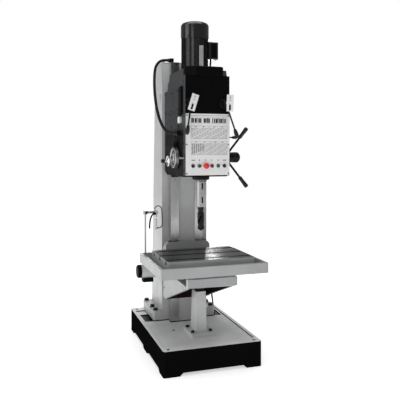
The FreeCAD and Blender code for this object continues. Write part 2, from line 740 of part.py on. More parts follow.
def make_coolant():
    """The coolant post, its tap and stem, the hose and the swinging nozzle."""
    bracket_low = (s.coolant_x - 22, s.tray_back, s.tray_low + 14)
    bracket = block("coolant_bracket", bracket_low, (s.coolant_x + 22, s.coolant_y + 20, s.tray_low + 52))
    post_low = s.tray_low + 14
    post = rod(
        "coolant_rod_out", s.coolant_rod, s.coolant_top - post_low, (s.coolant_x, s.coolant_y, post_low)
    )
    clamp = rod("coolant_clamp", as_size(17), as_size(30), (s.coolant_x, s.coolant_y, s.arm_z - 15))
    node("coolant_post", join("coolant_post_join", bracket, post, clamp))
    start = s.coolant_x + 17
    arm = rod("coolant_arm", as_size(9), s.tap_x - start, (start, s.coolant_y, s.arm_z), "x")
    low = (s.tap_x - 24, s.coolant_y - 16, s.arm_z - 20)
    tap = block("tap_block", low, (s.tap_x + 12, s.coolant_y + 16, s.arm_z + 12))
    tap = rounded("tap_round", tap, 6, along(V(0, 1, 0)))
    stem_low = s.arm_z - 133
    stem = rod("tap_stem", as_size(4.5), s.arm_z - 20 - stem_low, (s.tap_x, s.coolant_y, stem_low))
    foot = rod("tap_foot", as_size(10), as_size(20), (s.tap_x, s.coolant_y, stem_low))
    lip = rod("tap_lip", as_size(8), as_size(4), (s.tap_x - 14, s.coolant_y, s.arm_z + 11))
    low_lip = rod("tap_low_lip", as_size(7), as_size(14), (s.tap_x, s.coolant_y, stem_low + 10), "x")
    node("coolant_tap", join("tap_join", arm, tap, stem, foot, lip, low_lip))
    x = s.tap_x.value
    y = s.coolant_y.value
    z = s.arm_z.value
    points = [
        (x - 14, y, z + 15),
        (x - 14, y, z + 28),
        (x - 6.5, y, z + 41),
        (x + 6.5, y, z + 48.5),
        (x + 21.5, y - 0.5, z + 48.5),
        (x + 34.5, y - 1, z + 41),
        (x + 42, y - 1, z + 28),
        (x + 44, y - 1, z + 3),
        (x + 46, y, z - 26),
        (x + 47.5, y + 1, z - 56),
        (x + 48, y + 1, z - 84),
        (x + 47.5, y + 1, z - 102.5),
        (x + 40, y + 0.5, z - 115.5),
        (x + 27, y, z - 123),
        (x + 14, y, z - 123),
    ]
    cord("coolant_hose", points, 3.5)
    points = [
        (x - 22, y - 23, z - 8),
        (x - 34, y - 23, z - 13),
        (x - 45, y - 23, z - 28),
        (x - 53, y - 23, z - 52),
        (x - 58, y - 22, z - 84),
        (x - 59, y - 21, z - 122),
    ]
    return points


def make_nozzle(points):
    """The swinging nozzle: a stub that turns on the tap and its bent spout."""
    nozzle = cord("nozzle_spout", points, s.nozzle_round.value).Shape
    NODES.pop()
    doc.removeObject("nozzle_spout")
    x = s.tap_x.value - 24
    y = s.coolant_y.value - 16.3
    z = s.arm_z.value - 8
    hub = Part.makeCylinder(11, 13, V(x + 4, y, z), V(0, -1, 0))
    shape_node("coolant_nozzle", hub.fuse(nozzle))


# ---------------------------------------------------------------- drill head


def make_head():
    """The gear head casting that wraps the guide, with its keepers and side covers."""
    profile = [
        (s.head_front, s.head_low),
        (s.head_front, s.case_top),
        (s.head_front + 20, s.head_top),
        (s.motor_y + 110, s.head_top),
        (s.motor_y + 130, s.head_top - 50),
        (s.way_front - 40, s.head_shoulder + 60),
        (s.way_front - 28, s.head_shoulder),
        (way_back, s.head_shoulder),
        (way_back, s.head_low + 20),
        (s.way_front - 10, s.head_low),
    ]
    out = outline("head_out", "YZ_Plane", profile, s.head_wide, (-half_head, as_size(0), as_size(0)))
    wall = s.head_wall
    front_wall = s.head_front + wall
    cavity_back = s.way_front - wall
    cavity = block("head_cavity", (-half_head + wall, front_wall, s.head_low + wall),
                   (half_head - wall, cavity_back, s.head_shoulder - wall))
    upper = block("head_attic", (-half_head + wall, front_wall, s.head_shoulder - wall - 1),
                  (half_head - wall, s.motor_y + 100, s.head_top - wall))
    channel = block("head_channel", (-half_way - s.slip, s.way_front - s.slip, s.head_low - 1),
                    (half_way + s.slip, way_back + 1, s.head_shoulder + 1))
    tools = [cavity, upper, channel]
    tools.append(rod("quill_bore", s.quill_round + 2, wall + 2, (as_size(0), spindle_y, s.head_low - 1)))
    tools.append(
        rod("motor_bore", s.shaft_round + 6, wall + 2, (as_size(0), s.motor_y, s.head_top - wall - 1))
    )
    for side, way in ((1, "x"), (-1, "-x")):
        at = (side * (half_head - wall - 1), s.capstan_y, s.capstan_z)
        tools.append(rod(f"capstan_bore{side}", s.capstan_shaft + s.run, wall + 2, at, way))
    at = (half_head - s.engage_bore, s.engage_y, s.engage_z)
    tools.append(rod("engage_bore", as_size(9) + s.run, s.engage_bore + 1, at, "x"))
    at = (-half_head + wall + 1, s.wheel_y, s.wheel_z)
    tools.append(rod("wheel_bore", as_size(8) + s.run, wall + 2, at, "-x"))
    node("head_casting", cut("head_cut", out, *tools))
    keepers = []
    for side in signs:
        inner = side * (half_neck + s.slip * 10)
        outer = side * half_head
        low, high = (outer, inner) if side < 0 else (inner, outer)
        back = way_back + s.slip + s.keeper_thick
        keepers.append(block(f"head_keeper{side}", (low, way_back + s.slip, s.head_low + 24),
                             (high, back, s.head_shoulder)))
    node("head_keepers", group("head_keeper_pair", keepers))
    plates = []
    face = -half_head
    for name, low_z, high_z in (
        ("low", s.head_low + 348, s.head_low + 466), ("high", s.head_low + 470, s.head_low + 630)
    ):
        plate = block(
            f"side_plate_{name}", (face - s.cover_thick, s.motor_y - 137, low_z),
            (face, way_back - 6, high_z)
        )
        plates.append(plate)
    node("side_covers", group("side_cover_pair", plates))


def make_case():
    """The front housing, the control panel, its screws and bezels, and the hood above."""
    case = shell_box("case", (-half_head, s.case_front, s.case_low), (half_head, s.head_front, s.case_top),
                     s.case_skin, "+y")
    tools = []
    panel_tools = []
    for i in range(6):
        at = (s.button_first + i * s.button_pitch, s.case_front - 4, s.button_z)
        tools.append(rod(f"case_hole{i}", s.button_round + 0.3, as_size(10), at, "y"))
        panel_tools.append(rod(f"panel_hole{i}", s.button_round + 0.3, as_size(10), at, "y"))
    node("front_housing", cut("case_holes", case, *tools))
    panel = block(
        "panel_out", (-half_head + 2, panel_face, s.case_low + 4),
        (half_head - 2, s.case_front, s.panel_top)
    )
    panel = rounded("panel_round", panel, 4, along(V(0, 1, 0)))
    node("control_panel", cut("panel_holes", panel, *panel_tools))
    screws = []
    for side in signs:
        for row in range(3):
            z = s.case_low + 16 + (s.panel_top - s.case_low - 28) / 2 * row
            screws.append(cone(f"screw{side}{row}", as_size(5), as_size(3.4), as_size(2.4),
                               (side * (half_head - 10), panel_face, z), "-y"))
    node("panel_screws", group("panel_screw_set", screws))
    bezels = []
    for i in range(6):
        at = (s.button_first + i * s.button_pitch, panel_face, s.button_z)
        bezels.append(ring(f"bezel{i}", s.bezel_round, s.button_round + 0.3, as_size(4), at, "-y"))
    node("button_bezels", group("bezel_set", bezels))
    plan = [
        (-half_head + 4, s.head_front - 1),
        (-half_head + 4, s.case_front + 30),
        (-half_head + 76, s.case_front - 12),
        (as_size(100), s.case_front - 12),
        (as_size(118), s.case_front + 4),
        (as_size(118), s.head_front - 1),
    ]
    hood = outline(
        "hood_out", "XY_Plane", plan, s.hood_top - s.case_top, (as_size(0), as_size(0), s.case_top)
    )
    hood = rounded("hood_round", hood, 8, lambda edge: mid(edge).z > s.hood_top.value - 1)
    inner = [
        (-half_head + 8, s.head_front + 1),
        (-half_head + 8, s.case_front + 32),
        (-half_head + 77, s.case_front - 8),
        (as_size(98), s.case_front - 8),
        (as_size(114), s.case_front + 6),
        (as_size(114), s.head_front + 1),
    ]
    hollow = outline(
        "hood_in", "XY_Plane", inner, s.hood_top - s.case_top - 8,
        (as_size(0), as_size(0), s.case_top - 1)
    )
    node("front_hood", cut("hood_cut", hood, hollow))


def make_motor():
    """The finned drive motor with its fan cover, terminal box, lead and turning rotor."""
    top = s.motor_low + s.motor_tall
    bore = s.rotor_round + 1
    points = [
        (s.shaft_round + s.run, s.head_top),
        (s.motor_round + 14, s.head_top),
        (s.motor_round + 14, s.motor_low),
        (s.motor_round, s.motor_low + 6),
        (s.motor_round, top),
        (bore, top),
        (bore, s.motor_low + 6),
        (s.shaft_round + s.run, s.motor_low + 6),
    ]
    body = turned("motor_turned", points, (as_size(0), s.motor_y, as_size(0)))
    parts = [body]
    for i in range(36):
        angle = i * 10
        if abs(angle - 0) < 25 or angle > 335:
            continue
        turn = FreeCAD.Rotation(V(0, 0, 1), angle)
        fin = doc.addObject("Part::Box", f"motor_fin{i}")
        bind(fin, "Length", s.fin_tall + 8)
        bind(fin, "Width", 3)
        bind(fin, "Height", s.motor_tall - 26)
        spot = turn.multVec(V(s.motor_round.value - 8, -1.5, 0))
        fin.Placement = FreeCAD.Placement(V(), turn)
        bind(fin, "Placement.Base.x", spot.x)
        bind(fin, "Placement.Base.y", s.motor_y + spot.y)
        bind(fin, "Placement.Base.z", s.motor_low + 14)
        parts.append(fin)
    node("main_motor", join("motor_join", *parts))
    skin = s.shell
    points = [
        (s.fan_round - skin, top - 8),
        (s.fan_round, top - 8),
        (s.fan_round, top + s.fan_tall - 22),
        (s.fan_round - 8, top + s.fan_tall - 8),
        (s.fan_round - 26, top + s.fan_tall),
        (as_size(20), top + s.fan_tall),
        (as_size(20), top + s.fan_tall - skin),
        (s.fan_round - 28, top + s.fan_tall - skin),
        (s.fan_round - 8 - skin, top + s.fan_tall - 12),
        (s.fan_round - skin, top + s.fan_tall - 24),
    ]
    cover = turned("fan_cover_turned", points, (as_size(0), s.motor_y, as_size(0)))
    spokes = [cover]
    for i in range(3):
        turn = FreeCAD.Rotation(V(0, 0, 1), i * 60)
        spoke = doc.addObject("Part::Box", f"fan_spoke{i}")
        bind(spoke, "Length", 60)
        bind(spoke, "Width", 5)
        bind(spoke, "Height", skin)
        spot = turn.multVec(V(-30, -2.5, 0))
        spoke.Placement = FreeCAD.Placement(V(), turn)
        bind(spoke, "Placement.Base.x", spot.x)
        bind(spoke, "Placement.Base.y", s.motor_y + spot.y)
        bind(spoke, "Placement.Base.z", top + s.fan_tall - skin)
        spokes.append(spoke)
    node("motor_fan_cover", join("fan_cover_join", *spokes))
    low = (s.motor_round - 1, s.motor_y - 46, s.motor_low + 95)
    box = block("terminal_out", low, (s.motor_round + 74, s.motor_y + 46, s.motor_low + 226))
    box = rounded("terminal_round", box, 8, along(V(1, 0, 0)))
    barrel = rod("terminal_barrel", s.motor_round, s.motor_tall, (as_size(0), s.motor_y, s.motor_low))
    node("motor_terminal_box", cut("terminal_cut", box, barrel))
    points = [
        (as_size(0), s.head_top - 60),
        (s.shaft_round, s.head_top - 60),
        (s.shaft_round, s.motor_low + 20),
        (s.rotor_round, s.motor_low + 20),
        (s.rotor_round, top - 20),
        (s.shaft_round, top - 20),
        (s.shaft_round, top + 16),
        (as_size(84), top + 16),
        (as_size(84), top + 40),
        (as_size(16), top + 60),
        (as_size(0), top + 60),
    ]
    node("motor_rotor", turned("rotor_turned", points, (as_size(0), s.motor_y, as_size(0))))
    x = s.motor_round.value + 30
    y = s.motor_y.value
    low = s.motor_low.value + 95
    deck = s.head_top.value
    cord(
        "motor_lead",
        [
            (x, y, low), (x, y, low - 26), (x - 5, y - 1, low - 54), (x - 9, y - 1, low - 82),
            (x - 9, y - 1, deck)
        ],
        7
    )


def make_spindle_line():
    """The collar, quill, spindle and twist drill, all on the spindle axis."""
    at = (as_size(0), spindle_y, as_size(0))
    collar_low = s.head_low - 26
    bore = s.quill_round + s.run
    points = [
        (bore, collar_low),
        (s.collar_round - 6, collar_low),
        (s.collar_round, collar_low + 6),
        (s.collar_round, s.head_low),
        (bore, s.head_low),
    ]
    node("quill_collar", turned("collar_turned", points, at))
    inner = s.spindle_neck + s.run
    points = [
        (inner, s.quill_low),
        (s.quill_round - 2, s.quill_low),
        (s.quill_round, s.quill_low + 2),
        (s.quill_round, s.quill_top),
        (inner, s.quill_top),
    ]
    node("quill", turned("quill_turned", points, at))
    nose_top = s.quill_low - 2
    points = [
        (as_size(0), s.nose_low),
        (s.spindle_nose - 3, s.nose_low),
        (s.spindle_nose, s.nose_low + 3),
        (s.spindle_nose, nose_top),
        (s.spindle_neck, nose_top),
        (s.spindle_neck, s.quill_top + 150),
        (as_size(0), s.quill_top + 150),
    ]
    body = turned("spindle_turned", points, at)
    tools = []
    for i, low in enumerate((s.nose_low + 32, s.nose_low + 132)):
        slot_low = (-s.drift_wide / 2, spindle_y - s.spindle_nose - 1, low)
        tools.append(
            block(f"drift{i}", slot_low, (s.drift_wide / 2, spindle_y + s.spindle_nose + 1, low + 44))
        )
    node("spindle", cut("spindle_cut", body, *tools))
    points = [
        (as_size(0), s.drill_tip),
        (s.drill_round, s.drill_tip + 14),
        (s.drill_round, s.taper_low - 10),
        (as_size(20), s.taper_low),
        (as_size(24), s.nose_low),
        (as_size(0), s.nose_low),
    ]
    drill = turned("drill_turned", points, at)
    flutes = []
    for i in range(2):
        turn = FreeCAD.Rotation(V(0, 0, 1), 90 + i * 180)
        spot = turn.multVec(V(s.drill_round.value + 3, 0, 0))
        flute = rod(f"flute{i}", s.drill_round * 0.52, s.taper_low - s.drill_tip - 26,
                    (spot.x, spindle_y + spot.y, s.drill_tip - 1))
        flutes.append(flute)
    node("twist_drill", cut("drill_cut", drill, *flutes))


# ---------------------------------------------------------------- controls


def make_gear_levers():
    """The two index plates on their studs, and the two gear levers that turn on the studs."""
    plates = []
    stud_end = s.case_front - s.plate_gap
    levers = (
        ("left", s.left_lever_x, 17, -8, s.lever_long),
        ("right", s.right_lever_x, 2, 20, s.lever_long + s.lever_extra),
    )
    for word, x, tilt, lean, long in levers:
        stud = rod(f"stud_{word}", s.stud_round, s.plate_gap, (x, s.case_front, s.lever_z), "-y")
        boss = rod(f"boss_{word}", as_size(34), as_size(12), (x, s.case_front, s.lever_z), "-y")
        boss = rounded(f"boss_round_{word}", boss, 4, lambda edge: mid(edge).y < s.case_front.value - 11)
        turn = FreeCAD.Rotation(V(0, 1, 0), tilt)
        shift = 8 if word == "left" else 22
        spot = turn.multVec(V(shift - s.plate_wide.value / 2, 0, -s.plate_tall.value / 2))
        plate = doc.addObject("Part::Box", f"index_{word}")
        bind(plate, "Length", s.plate_wide)
        bind(plate, "Width", 3)
        bind(plate, "Height", s.plate_tall)
        plate.Placement = FreeCAD.Placement(V(), turn)
        bind(plate, "Placement.Base.x", x + spot.x)
        bind(plate, "Placement.Base.y", stud_end)
        bind(plate, "Placement.Base.z", s.lever_z + spot.z)
        plates.append(join(f"index_join_{word}", stud, boss, plate))
        lever_y = s.case_front - s.plate_gap + 18
        hub = ring(
            f"lever_hub_{word}", as_size(19), s.stud_round + s.run, as_size(30),
            (x, lever_y + 22, s.lever_z), "-y"
        )
        down = FreeCAD.Rotation(V(0, 1, 0), -lean)
        arm = doc.addObject("Part::Cylinder", f"lever_arm_{word}")
        grip = doc.addObject("Part::Cylinder", f"lever_grip_{word}")
        aim = down.multVec(V(0, 0, -1))
        bind(arm, "Radius", s.lever_rod)
        bind(arm, "Height", long - 60)
        bind(grip, "Radius", s.knob_round)
        bind(grip, "Height", 66)
        for thing, reach in ((arm, as_size(12)), (grip, long - 52)):
            thing.Placement = FreeCAD.Placement(V(), down * FreeCAD.Rotation(V(1, 0, 0), 180))
            bind(thing, "Placement.Base.x", x + aim.x * reach)
            bind(thing, "Placement.Base.y", lever_y + 8)
            bind(thing, "Placement.Base.z", s.lever_z + aim.z * reach)
        bored = rod(
            f"lever_bore_{word}", s.stud_round + s.run, as_size(40), (x, lever_y + 24, s.lever_z), "-y"
        )
        node(f"gear_lever_{word}", cut(f"lever_cut_{word}", join(f"lever_{word}", hub, arm, grip), bored))
    node("gear_index_plates", group("index_plates", plates))


def make_capstan():
    """The feed capstan: hub and shaft, three arms with grips, its flange and the graduated dial."""
    half = half_head
    at = (half, s.capstan_y, s.capstan_z)
    node(
        "capstan_flange",
        ring("capstan_ring", as_size(46), s.capstan_shaft + s.run, as_size(14), at, "x")
    )
    points = [
        (as_size(0), half - 60),
        (s.capstan_shaft, half - 60),
        (s.capstan_shaft, half + 15),
        (s.capstan_hub - 6, half + 15),
        (s.capstan_hub - 6, half + 60),
        (s.capstan_hub, half + 66),
        (s.capstan_hub, s.capstan_end - 12),
        (s.capstan_hub - 12, s.capstan_end),
        (as_size(0), s.capstan_end),
    ]
    hub = turned("hub_turned", points, (as_size(0), s.capstan_y, s.capstan_z), "x")
    arms = [hub]
    grips = []
    lean = 27
    for i, angle in enumerate((0, 120, 240)):
        swing = FreeCAD.Rotation(V(1, 0, 0), angle)
        tilt = FreeCAD.Rotation(V(0, 0, 1), -lean)
        turn = swing * tilt * TURNS["y"]
        aim = turn.multVec(V(0, 0, 1))
        long = s.capstan_reach.value / math.cos(math.radians(lean))
        start = half.value + 40
        for kind, radius, low, high in (("arm", s.arm_round, 10, long - s.grip_long.value + 8),
                                        ("grip", s.grip_round, long - s.grip_long.value, long)):
            piece = doc.addObject("Part::Cylinder", f"capstan_{kind}{i}")
            bind(piece, "Radius", radius)
            bind(piece, "Height", high - low)
            piece.Placement = FreeCAD.Placement(V(), turn)
            bind(piece, "Placement.Base.x", as_size(start + aim.x * low))
            bind(piece, "Placement.Base.y", s.capstan_y + aim.y * low)
            bind(piece, "Placement.Base.z", s.capstan_z + aim.z * low)
            if kind == "arm":
                arms.append(piece)
                core = piece
            else:
                ended = rounded(f"grip_round{i}", piece, 6, lambda edge: edge.Closed)
                grips.append(cut(f"grip_cut{i}", ended, core))
    node("capstan", join("capstan_join", *arms))
    node("capstan_grips", group("grip_set", grips))
    at = (-half, s.capstan_y, s.capstan_z)
    outer = ring("dial_ring_out", s.dial_round + 8, s.capstan_shaft + s.run, as_size(10), at, "-x")
    pointer = block("dial_pointer", (-half - 30, s.capstan_y - 5, s.capstan_z + s.dial_round + 2),
                    (-half, s.capstan_y + 5, s.capstan_z + s.dial_round + 40))
    node("dial_flange", join("dial_flange_join", outer, pointer))
    points = [
        (as_size(0), half - 60),
        (s.capstan_shaft, half - 60),
        (s.capstan_shaft, half + 10.3),
        (s.dial_round, half + 10.3),
        (s.dial_round, -s.dial_face - 3),
        (s.dial_round - 3, -s.dial_face),
        (s.dial_round - 14, -s.dial_face),
        (s.dial_round - 18, -s.dial_face - 5),
        (as_size(26), -s.dial_face - 5),
        (as_size(22), -s.dial_face + 4),
        (as_size(0), -s.dial_face + 4),
    ]
    node("depth_dial", turned("dial_turned", points, (as_size(0), s.capstan_y, s.capstan_z), "-x"))


def make_small_controls():
    """The feed engage lever, the fine feed wheel and the six panel controls."""
    half = half_head
    points = [
        (as_size(0), half - 40),
        (as_size(9), half - 40),
        (as_size(9), half + 0.5),
        (as_size(15), half + 0.5),
        (as_size(15), half + 14),
        (as_size(5), half + 20),
        (as_size(5), s.engage_end - 40),
        (as_size(11), s.engage_end - 34),
        (as_size(12), s.engage_end - 8),
        (as_size(7), s.engage_end),
        (as_size(0), s.engage_end),
    ]
    node("engage_lever", turned("engage_turned", points, (as_size(0), s.engage_y, s.engage_z), "x"))
    points = [
        (as_size(0), half - 40),
        (as_size(8), half - 40),
        (as_size(8), half + 0.5),
        (as_size(14), half + 0.5),
        (as_size(14), half + 16),
        (s.wheel_round - 3, half + 20),
        (s.wheel_round, half + 24),
        (s.wheel_round, half + 34),
        (s.wheel_round - 4, half + 38),
        (s.wheel_round - 10, half + 34),
        (as_size(13), half + 32),
        (as_size(11), half + 56),
        (as_size(15), half + 62),
        (as_size(15), -s.wheel_end - 5),
        (as_size(10), -s.wheel_end),
        (as_size(0), -s.wheel_end),
    ]
    node("fine_feed_wheel", turned("wheel_turned", points, (as_size(0), s.wheel_y, s.wheel_z), "-x"))
    labels = (
        "selector_left", "start_button", "emergency_stop", "stop_button", "tapping_button",
        "selector_right"
    )
    for i, label in enumerate(labels):
        at = (s.button_first + i * s.button_pitch, s.case_front + 30, s.button_z)
        reach = s.panel_thick + 30
        if label == "emergency_stop":
            points = [
                (as_size(0), as_size(0)),
                (s.button_round, as_size(0)),
                (s.button_round, reach + 14),
                (s.stop_round - 3, reach + 16),
                (s.stop_round, reach + 20),
                (s.stop_round - 2, reach + 28),
                (s.stop_round - 10, reach + 33),
                (as_size(0), reach + 34),
            ]
            node(label, turned(label + "_turned", points, at, "-y"))
            continue
        points = [
            (as_size(0), as_size(0)),
            (s.button_round, as_size(0)),
            (s.button_round, reach + 9),
            (s.button_round - 1.5, reach + 10.5),
            (as_size(0), reach + 10.5),
        ]
        stem = turned(label + "_turned", points, at, "-y")
        if label.startswith("selector"):
            low = (at[0] - 3.5, panel_face - 22, s.button_z - 11)
            bar = block(label + "_bar", low, (at[0] + 3.5, panel_face - 9, s.button_z + 11))
            stem = join(label + "_join", stem, bar)
        node(label, stem)


# ---------------------------------------------------------------- cables


def make_cables():
    """The glands, the conduit from the column to the head and the short lower conduit."""
    x = s.gland_x
    y = s.body_front + s.gland_back
    top = s.column_top + s.cap_thick
    axis_z = top + 23
    foot = rod("gland_foot", s.gland_foot, as_size(24), (x, y, s.column_top - 12))
    nut = hexagon("gland_nut", as_size(20), as_size(9), (x, y, top))
    bend = block("gland_bend", (x - 17, y - 15, top + 9), (x + 17, y + 15, top + 38))
    bend = rounded("gland_bend_round", bend, 5, along(V(0, 1, 0)))
    neck = cone("gland_neck", as_size(15), as_size(12.5), as_size(13), (x - 17, y, axis_z), "-x")
    node("column_gland", join("column_gland_join", foot, nut, bend, neck))
    start = ((x - 30).value, y.value, axis_z.value)
    side = -half_head
    gland_y = s.engage_y + 62
    gland_z = s.engage_z + 30
    elbow_low = (side - 29, gland_y - 18, gland_z - 18)
    elbow = block("gland_block", elbow_low, (side, gland_y + 14, gland_z + 18))
    elbow = rounded("gland_block_round", elbow, 6, along(V(0, 1, 0)))
    nose = doc.addObject("Part::Cone", "gland_nose")
    bind(nose, "Radius1", 14)
    bind(nose, "Radius2", 12.5)
    bind(nose, "Height", s.nose_long)
    slant = FreeCAD.Rotation(V(0, 0, 1), 30) * TURNS["y"]
    put(nose, (side - 16, gland_y + 6, gland_z), slant)
    node("head_gland", join("head_gland_join", elbow, nose))
    aim = slant.multVec(V(0, 0, s.nose_long.value))
    end = ((side - 16).value + aim.x, (gland_y + 6).value + aim.y, gland_z.value)
    points = [start]
    points += CONDUIT_ROUTE
    points.append((end[0] + aim.x * 0.75, end[1] + aim.y * 0.75, end[2]))
    points.append(end)
    cord("head_conduit", points, s.conduit_round.value)
    points = LOWER_ROUTE
    cord("lower_conduit", points, 7)
    wall_x = s.body_wide / 2
    first = points[0]
    last = points[-1]
    gland = rod(
        "lower_gland_rod", as_size(13), first[0] - wall_x,
        (wall_x, as_size(first[1]), as_size(first[2])), "x"
    )
    ledge = s.base_tall - s.pan_depth - s.base_skin + s.well_ledge
    plug = rod("well_gland", as_size(15), last[2] - ledge, (as_size(last[0]), as_size(last[1]), ledge))
    plates = []
    for side in signs:
        inner = side * (half_base_x - s.well_inset - s.well_wide / 2)
        low = (inner - s.well_wide / 2 + s.slip, s.well_y - s.well_long / 2 + s.slip, ledge)
        high = (inner + s.well_wide / 2 - s.slip, s.well_y + s.well_long / 2 - s.slip, ledge + 6)
        plates.append(block(f"well_plate{side}", low, high))
    pieces = [gland, plates[0], join("well_plate_gland", plates[1], plug)]
    node("conduit_glands", group("conduit_gland_set", pieces))


CONDUIT_ROUTE = [
    (-170, 189, 2229),
    (-207, 183, 2208),
    (-232, 171, 2172),
    (-244, 155, 2127),
    (-252, 134, 2073),
    (-258, 109, 2017),
    (-262, 82, 1961),
    (-264, 54, 1906),
    (-264, 24, 1852),
    (-262, -9, 1800),
    (-258, -44, 1752),
    (-252, -82, 1710),
    (-243, -121, 1674),
    (-231, -161, 1648),
]
LOWER_ROUTE = [
    (206, 300, 420),
    (231, 300, 420),
    (253, 299, 407),
    (265, 297, 385),
    (270, 290, 351),
    (275, 281, 311),
    (279, 272, 269),
    (281, 265, 222),
    (281, 265, 175),
]


def export():
    """Check every object and every sub-part, then write one file for each sub-part."""
    doc.recompute()
    for thing in doc.Objects:
        if "Invalid" in thing.State or "Error" in thing.State:
            raise RuntimeError(f"{thing.Label} failed: {thing.State}")
    for thing in NODES:
        if thing.Shape.isNull() or not thing.Shape.isValid() or thing.Shape.Volume <= 0:
            raise RuntimeError(f"{thing.Label} has no valid shape")
    os.makedirs("parts", exist_ok=True)
    for thing in NODES:
        thing.Shape.exportStep(f"parts/{thing.Label}.step")
    print(f"{len(NODES)} sub-parts written")


make_base()
make_column()
make_column_trim()
make_pedestal()
make_knee()
make_table()
make_lift_motor()
make_nozzle(make_coolant())
make_head()
make_case()
make_motor()
make_spindle_line()
make_gear_levers()
make_capstan()
make_small_controls()
make_cables()
export()
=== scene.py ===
"""Dresses the square-column drilling machine: finishes, turned and moulded parts, cables and studio."""

import logging
import math
from collections.abc import Callable, Iterable, Sequence
from dataclasses import dataclass
from enum import Enum
from itertools import product

import bmesh
import bpy
from mathutils import Matrix, Vector


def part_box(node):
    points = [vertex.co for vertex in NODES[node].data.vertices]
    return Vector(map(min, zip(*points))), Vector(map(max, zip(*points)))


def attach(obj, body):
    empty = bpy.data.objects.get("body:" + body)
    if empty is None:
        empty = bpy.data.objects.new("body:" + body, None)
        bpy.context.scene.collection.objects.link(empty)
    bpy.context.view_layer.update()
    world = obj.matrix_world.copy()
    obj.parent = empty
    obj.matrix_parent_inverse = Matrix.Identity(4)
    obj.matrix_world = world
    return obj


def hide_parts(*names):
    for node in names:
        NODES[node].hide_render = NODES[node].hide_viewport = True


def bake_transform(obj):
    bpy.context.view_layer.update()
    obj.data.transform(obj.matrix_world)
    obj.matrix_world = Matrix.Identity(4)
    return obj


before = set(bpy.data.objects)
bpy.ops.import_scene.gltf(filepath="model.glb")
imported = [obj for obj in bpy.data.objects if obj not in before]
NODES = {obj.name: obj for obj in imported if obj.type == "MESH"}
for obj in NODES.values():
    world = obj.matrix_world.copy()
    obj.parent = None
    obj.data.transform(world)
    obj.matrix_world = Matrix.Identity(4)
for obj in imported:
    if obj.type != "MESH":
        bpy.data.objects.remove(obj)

LOG = logging.getLogger("drilling_machine")
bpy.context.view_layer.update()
Point = tuple[float, float, float]
Colour = tuple[float, float, float]
Patch = tuple[float, float, float, float]
Profile = tuple[tuple[float, float], ...]

TABLE_SLOTS = (-0.2735, 0.169, 0.031)    # middle of one slot, pitch and width of the painted shade band along Y
HEAD_SPLIT = (1.62, 1.70)    # heights between which the head's side turns from dark to grey
# colour of the painted shade beside the table's slots
SLOT_BAND_SHADE = (0.008, 0.008, 0.008)
RUBBED = (0.82, 0.82, 0.82)
FINE_DUST = (1400.0, 0.00008)    # scale and depth of rubber's grain


class Way(Enum):
    """The axis that a turned shape runs along."""

    UP = ((0, 0, 1), (1, 0, 0))
    DOWN = ((0, 0, -1), (1, 0, 0))
    RIGHT = ((1, 0, 0), (0, 1, 0))
    LEFT = ((-1, 0, 0), (0, 1, 0))
    BACK = ((0, 1, 0), (0, 0, 1))
    FRONT = ((0, -1, 0), (0, 0, 1))

    def at(self, origin: Point) -> Matrix:
        """Return the frame whose Z runs this way from a point."""
        up = Vector(self.value[0])
        side = Vector(self.value[1])
        across = up.cross(side)
        turn = Matrix((side, across, up)).transposed().to_4x4()
        return Matrix.Translation(Vector(origin)) @ turn


# ---------------------------------------------------------------- finishes


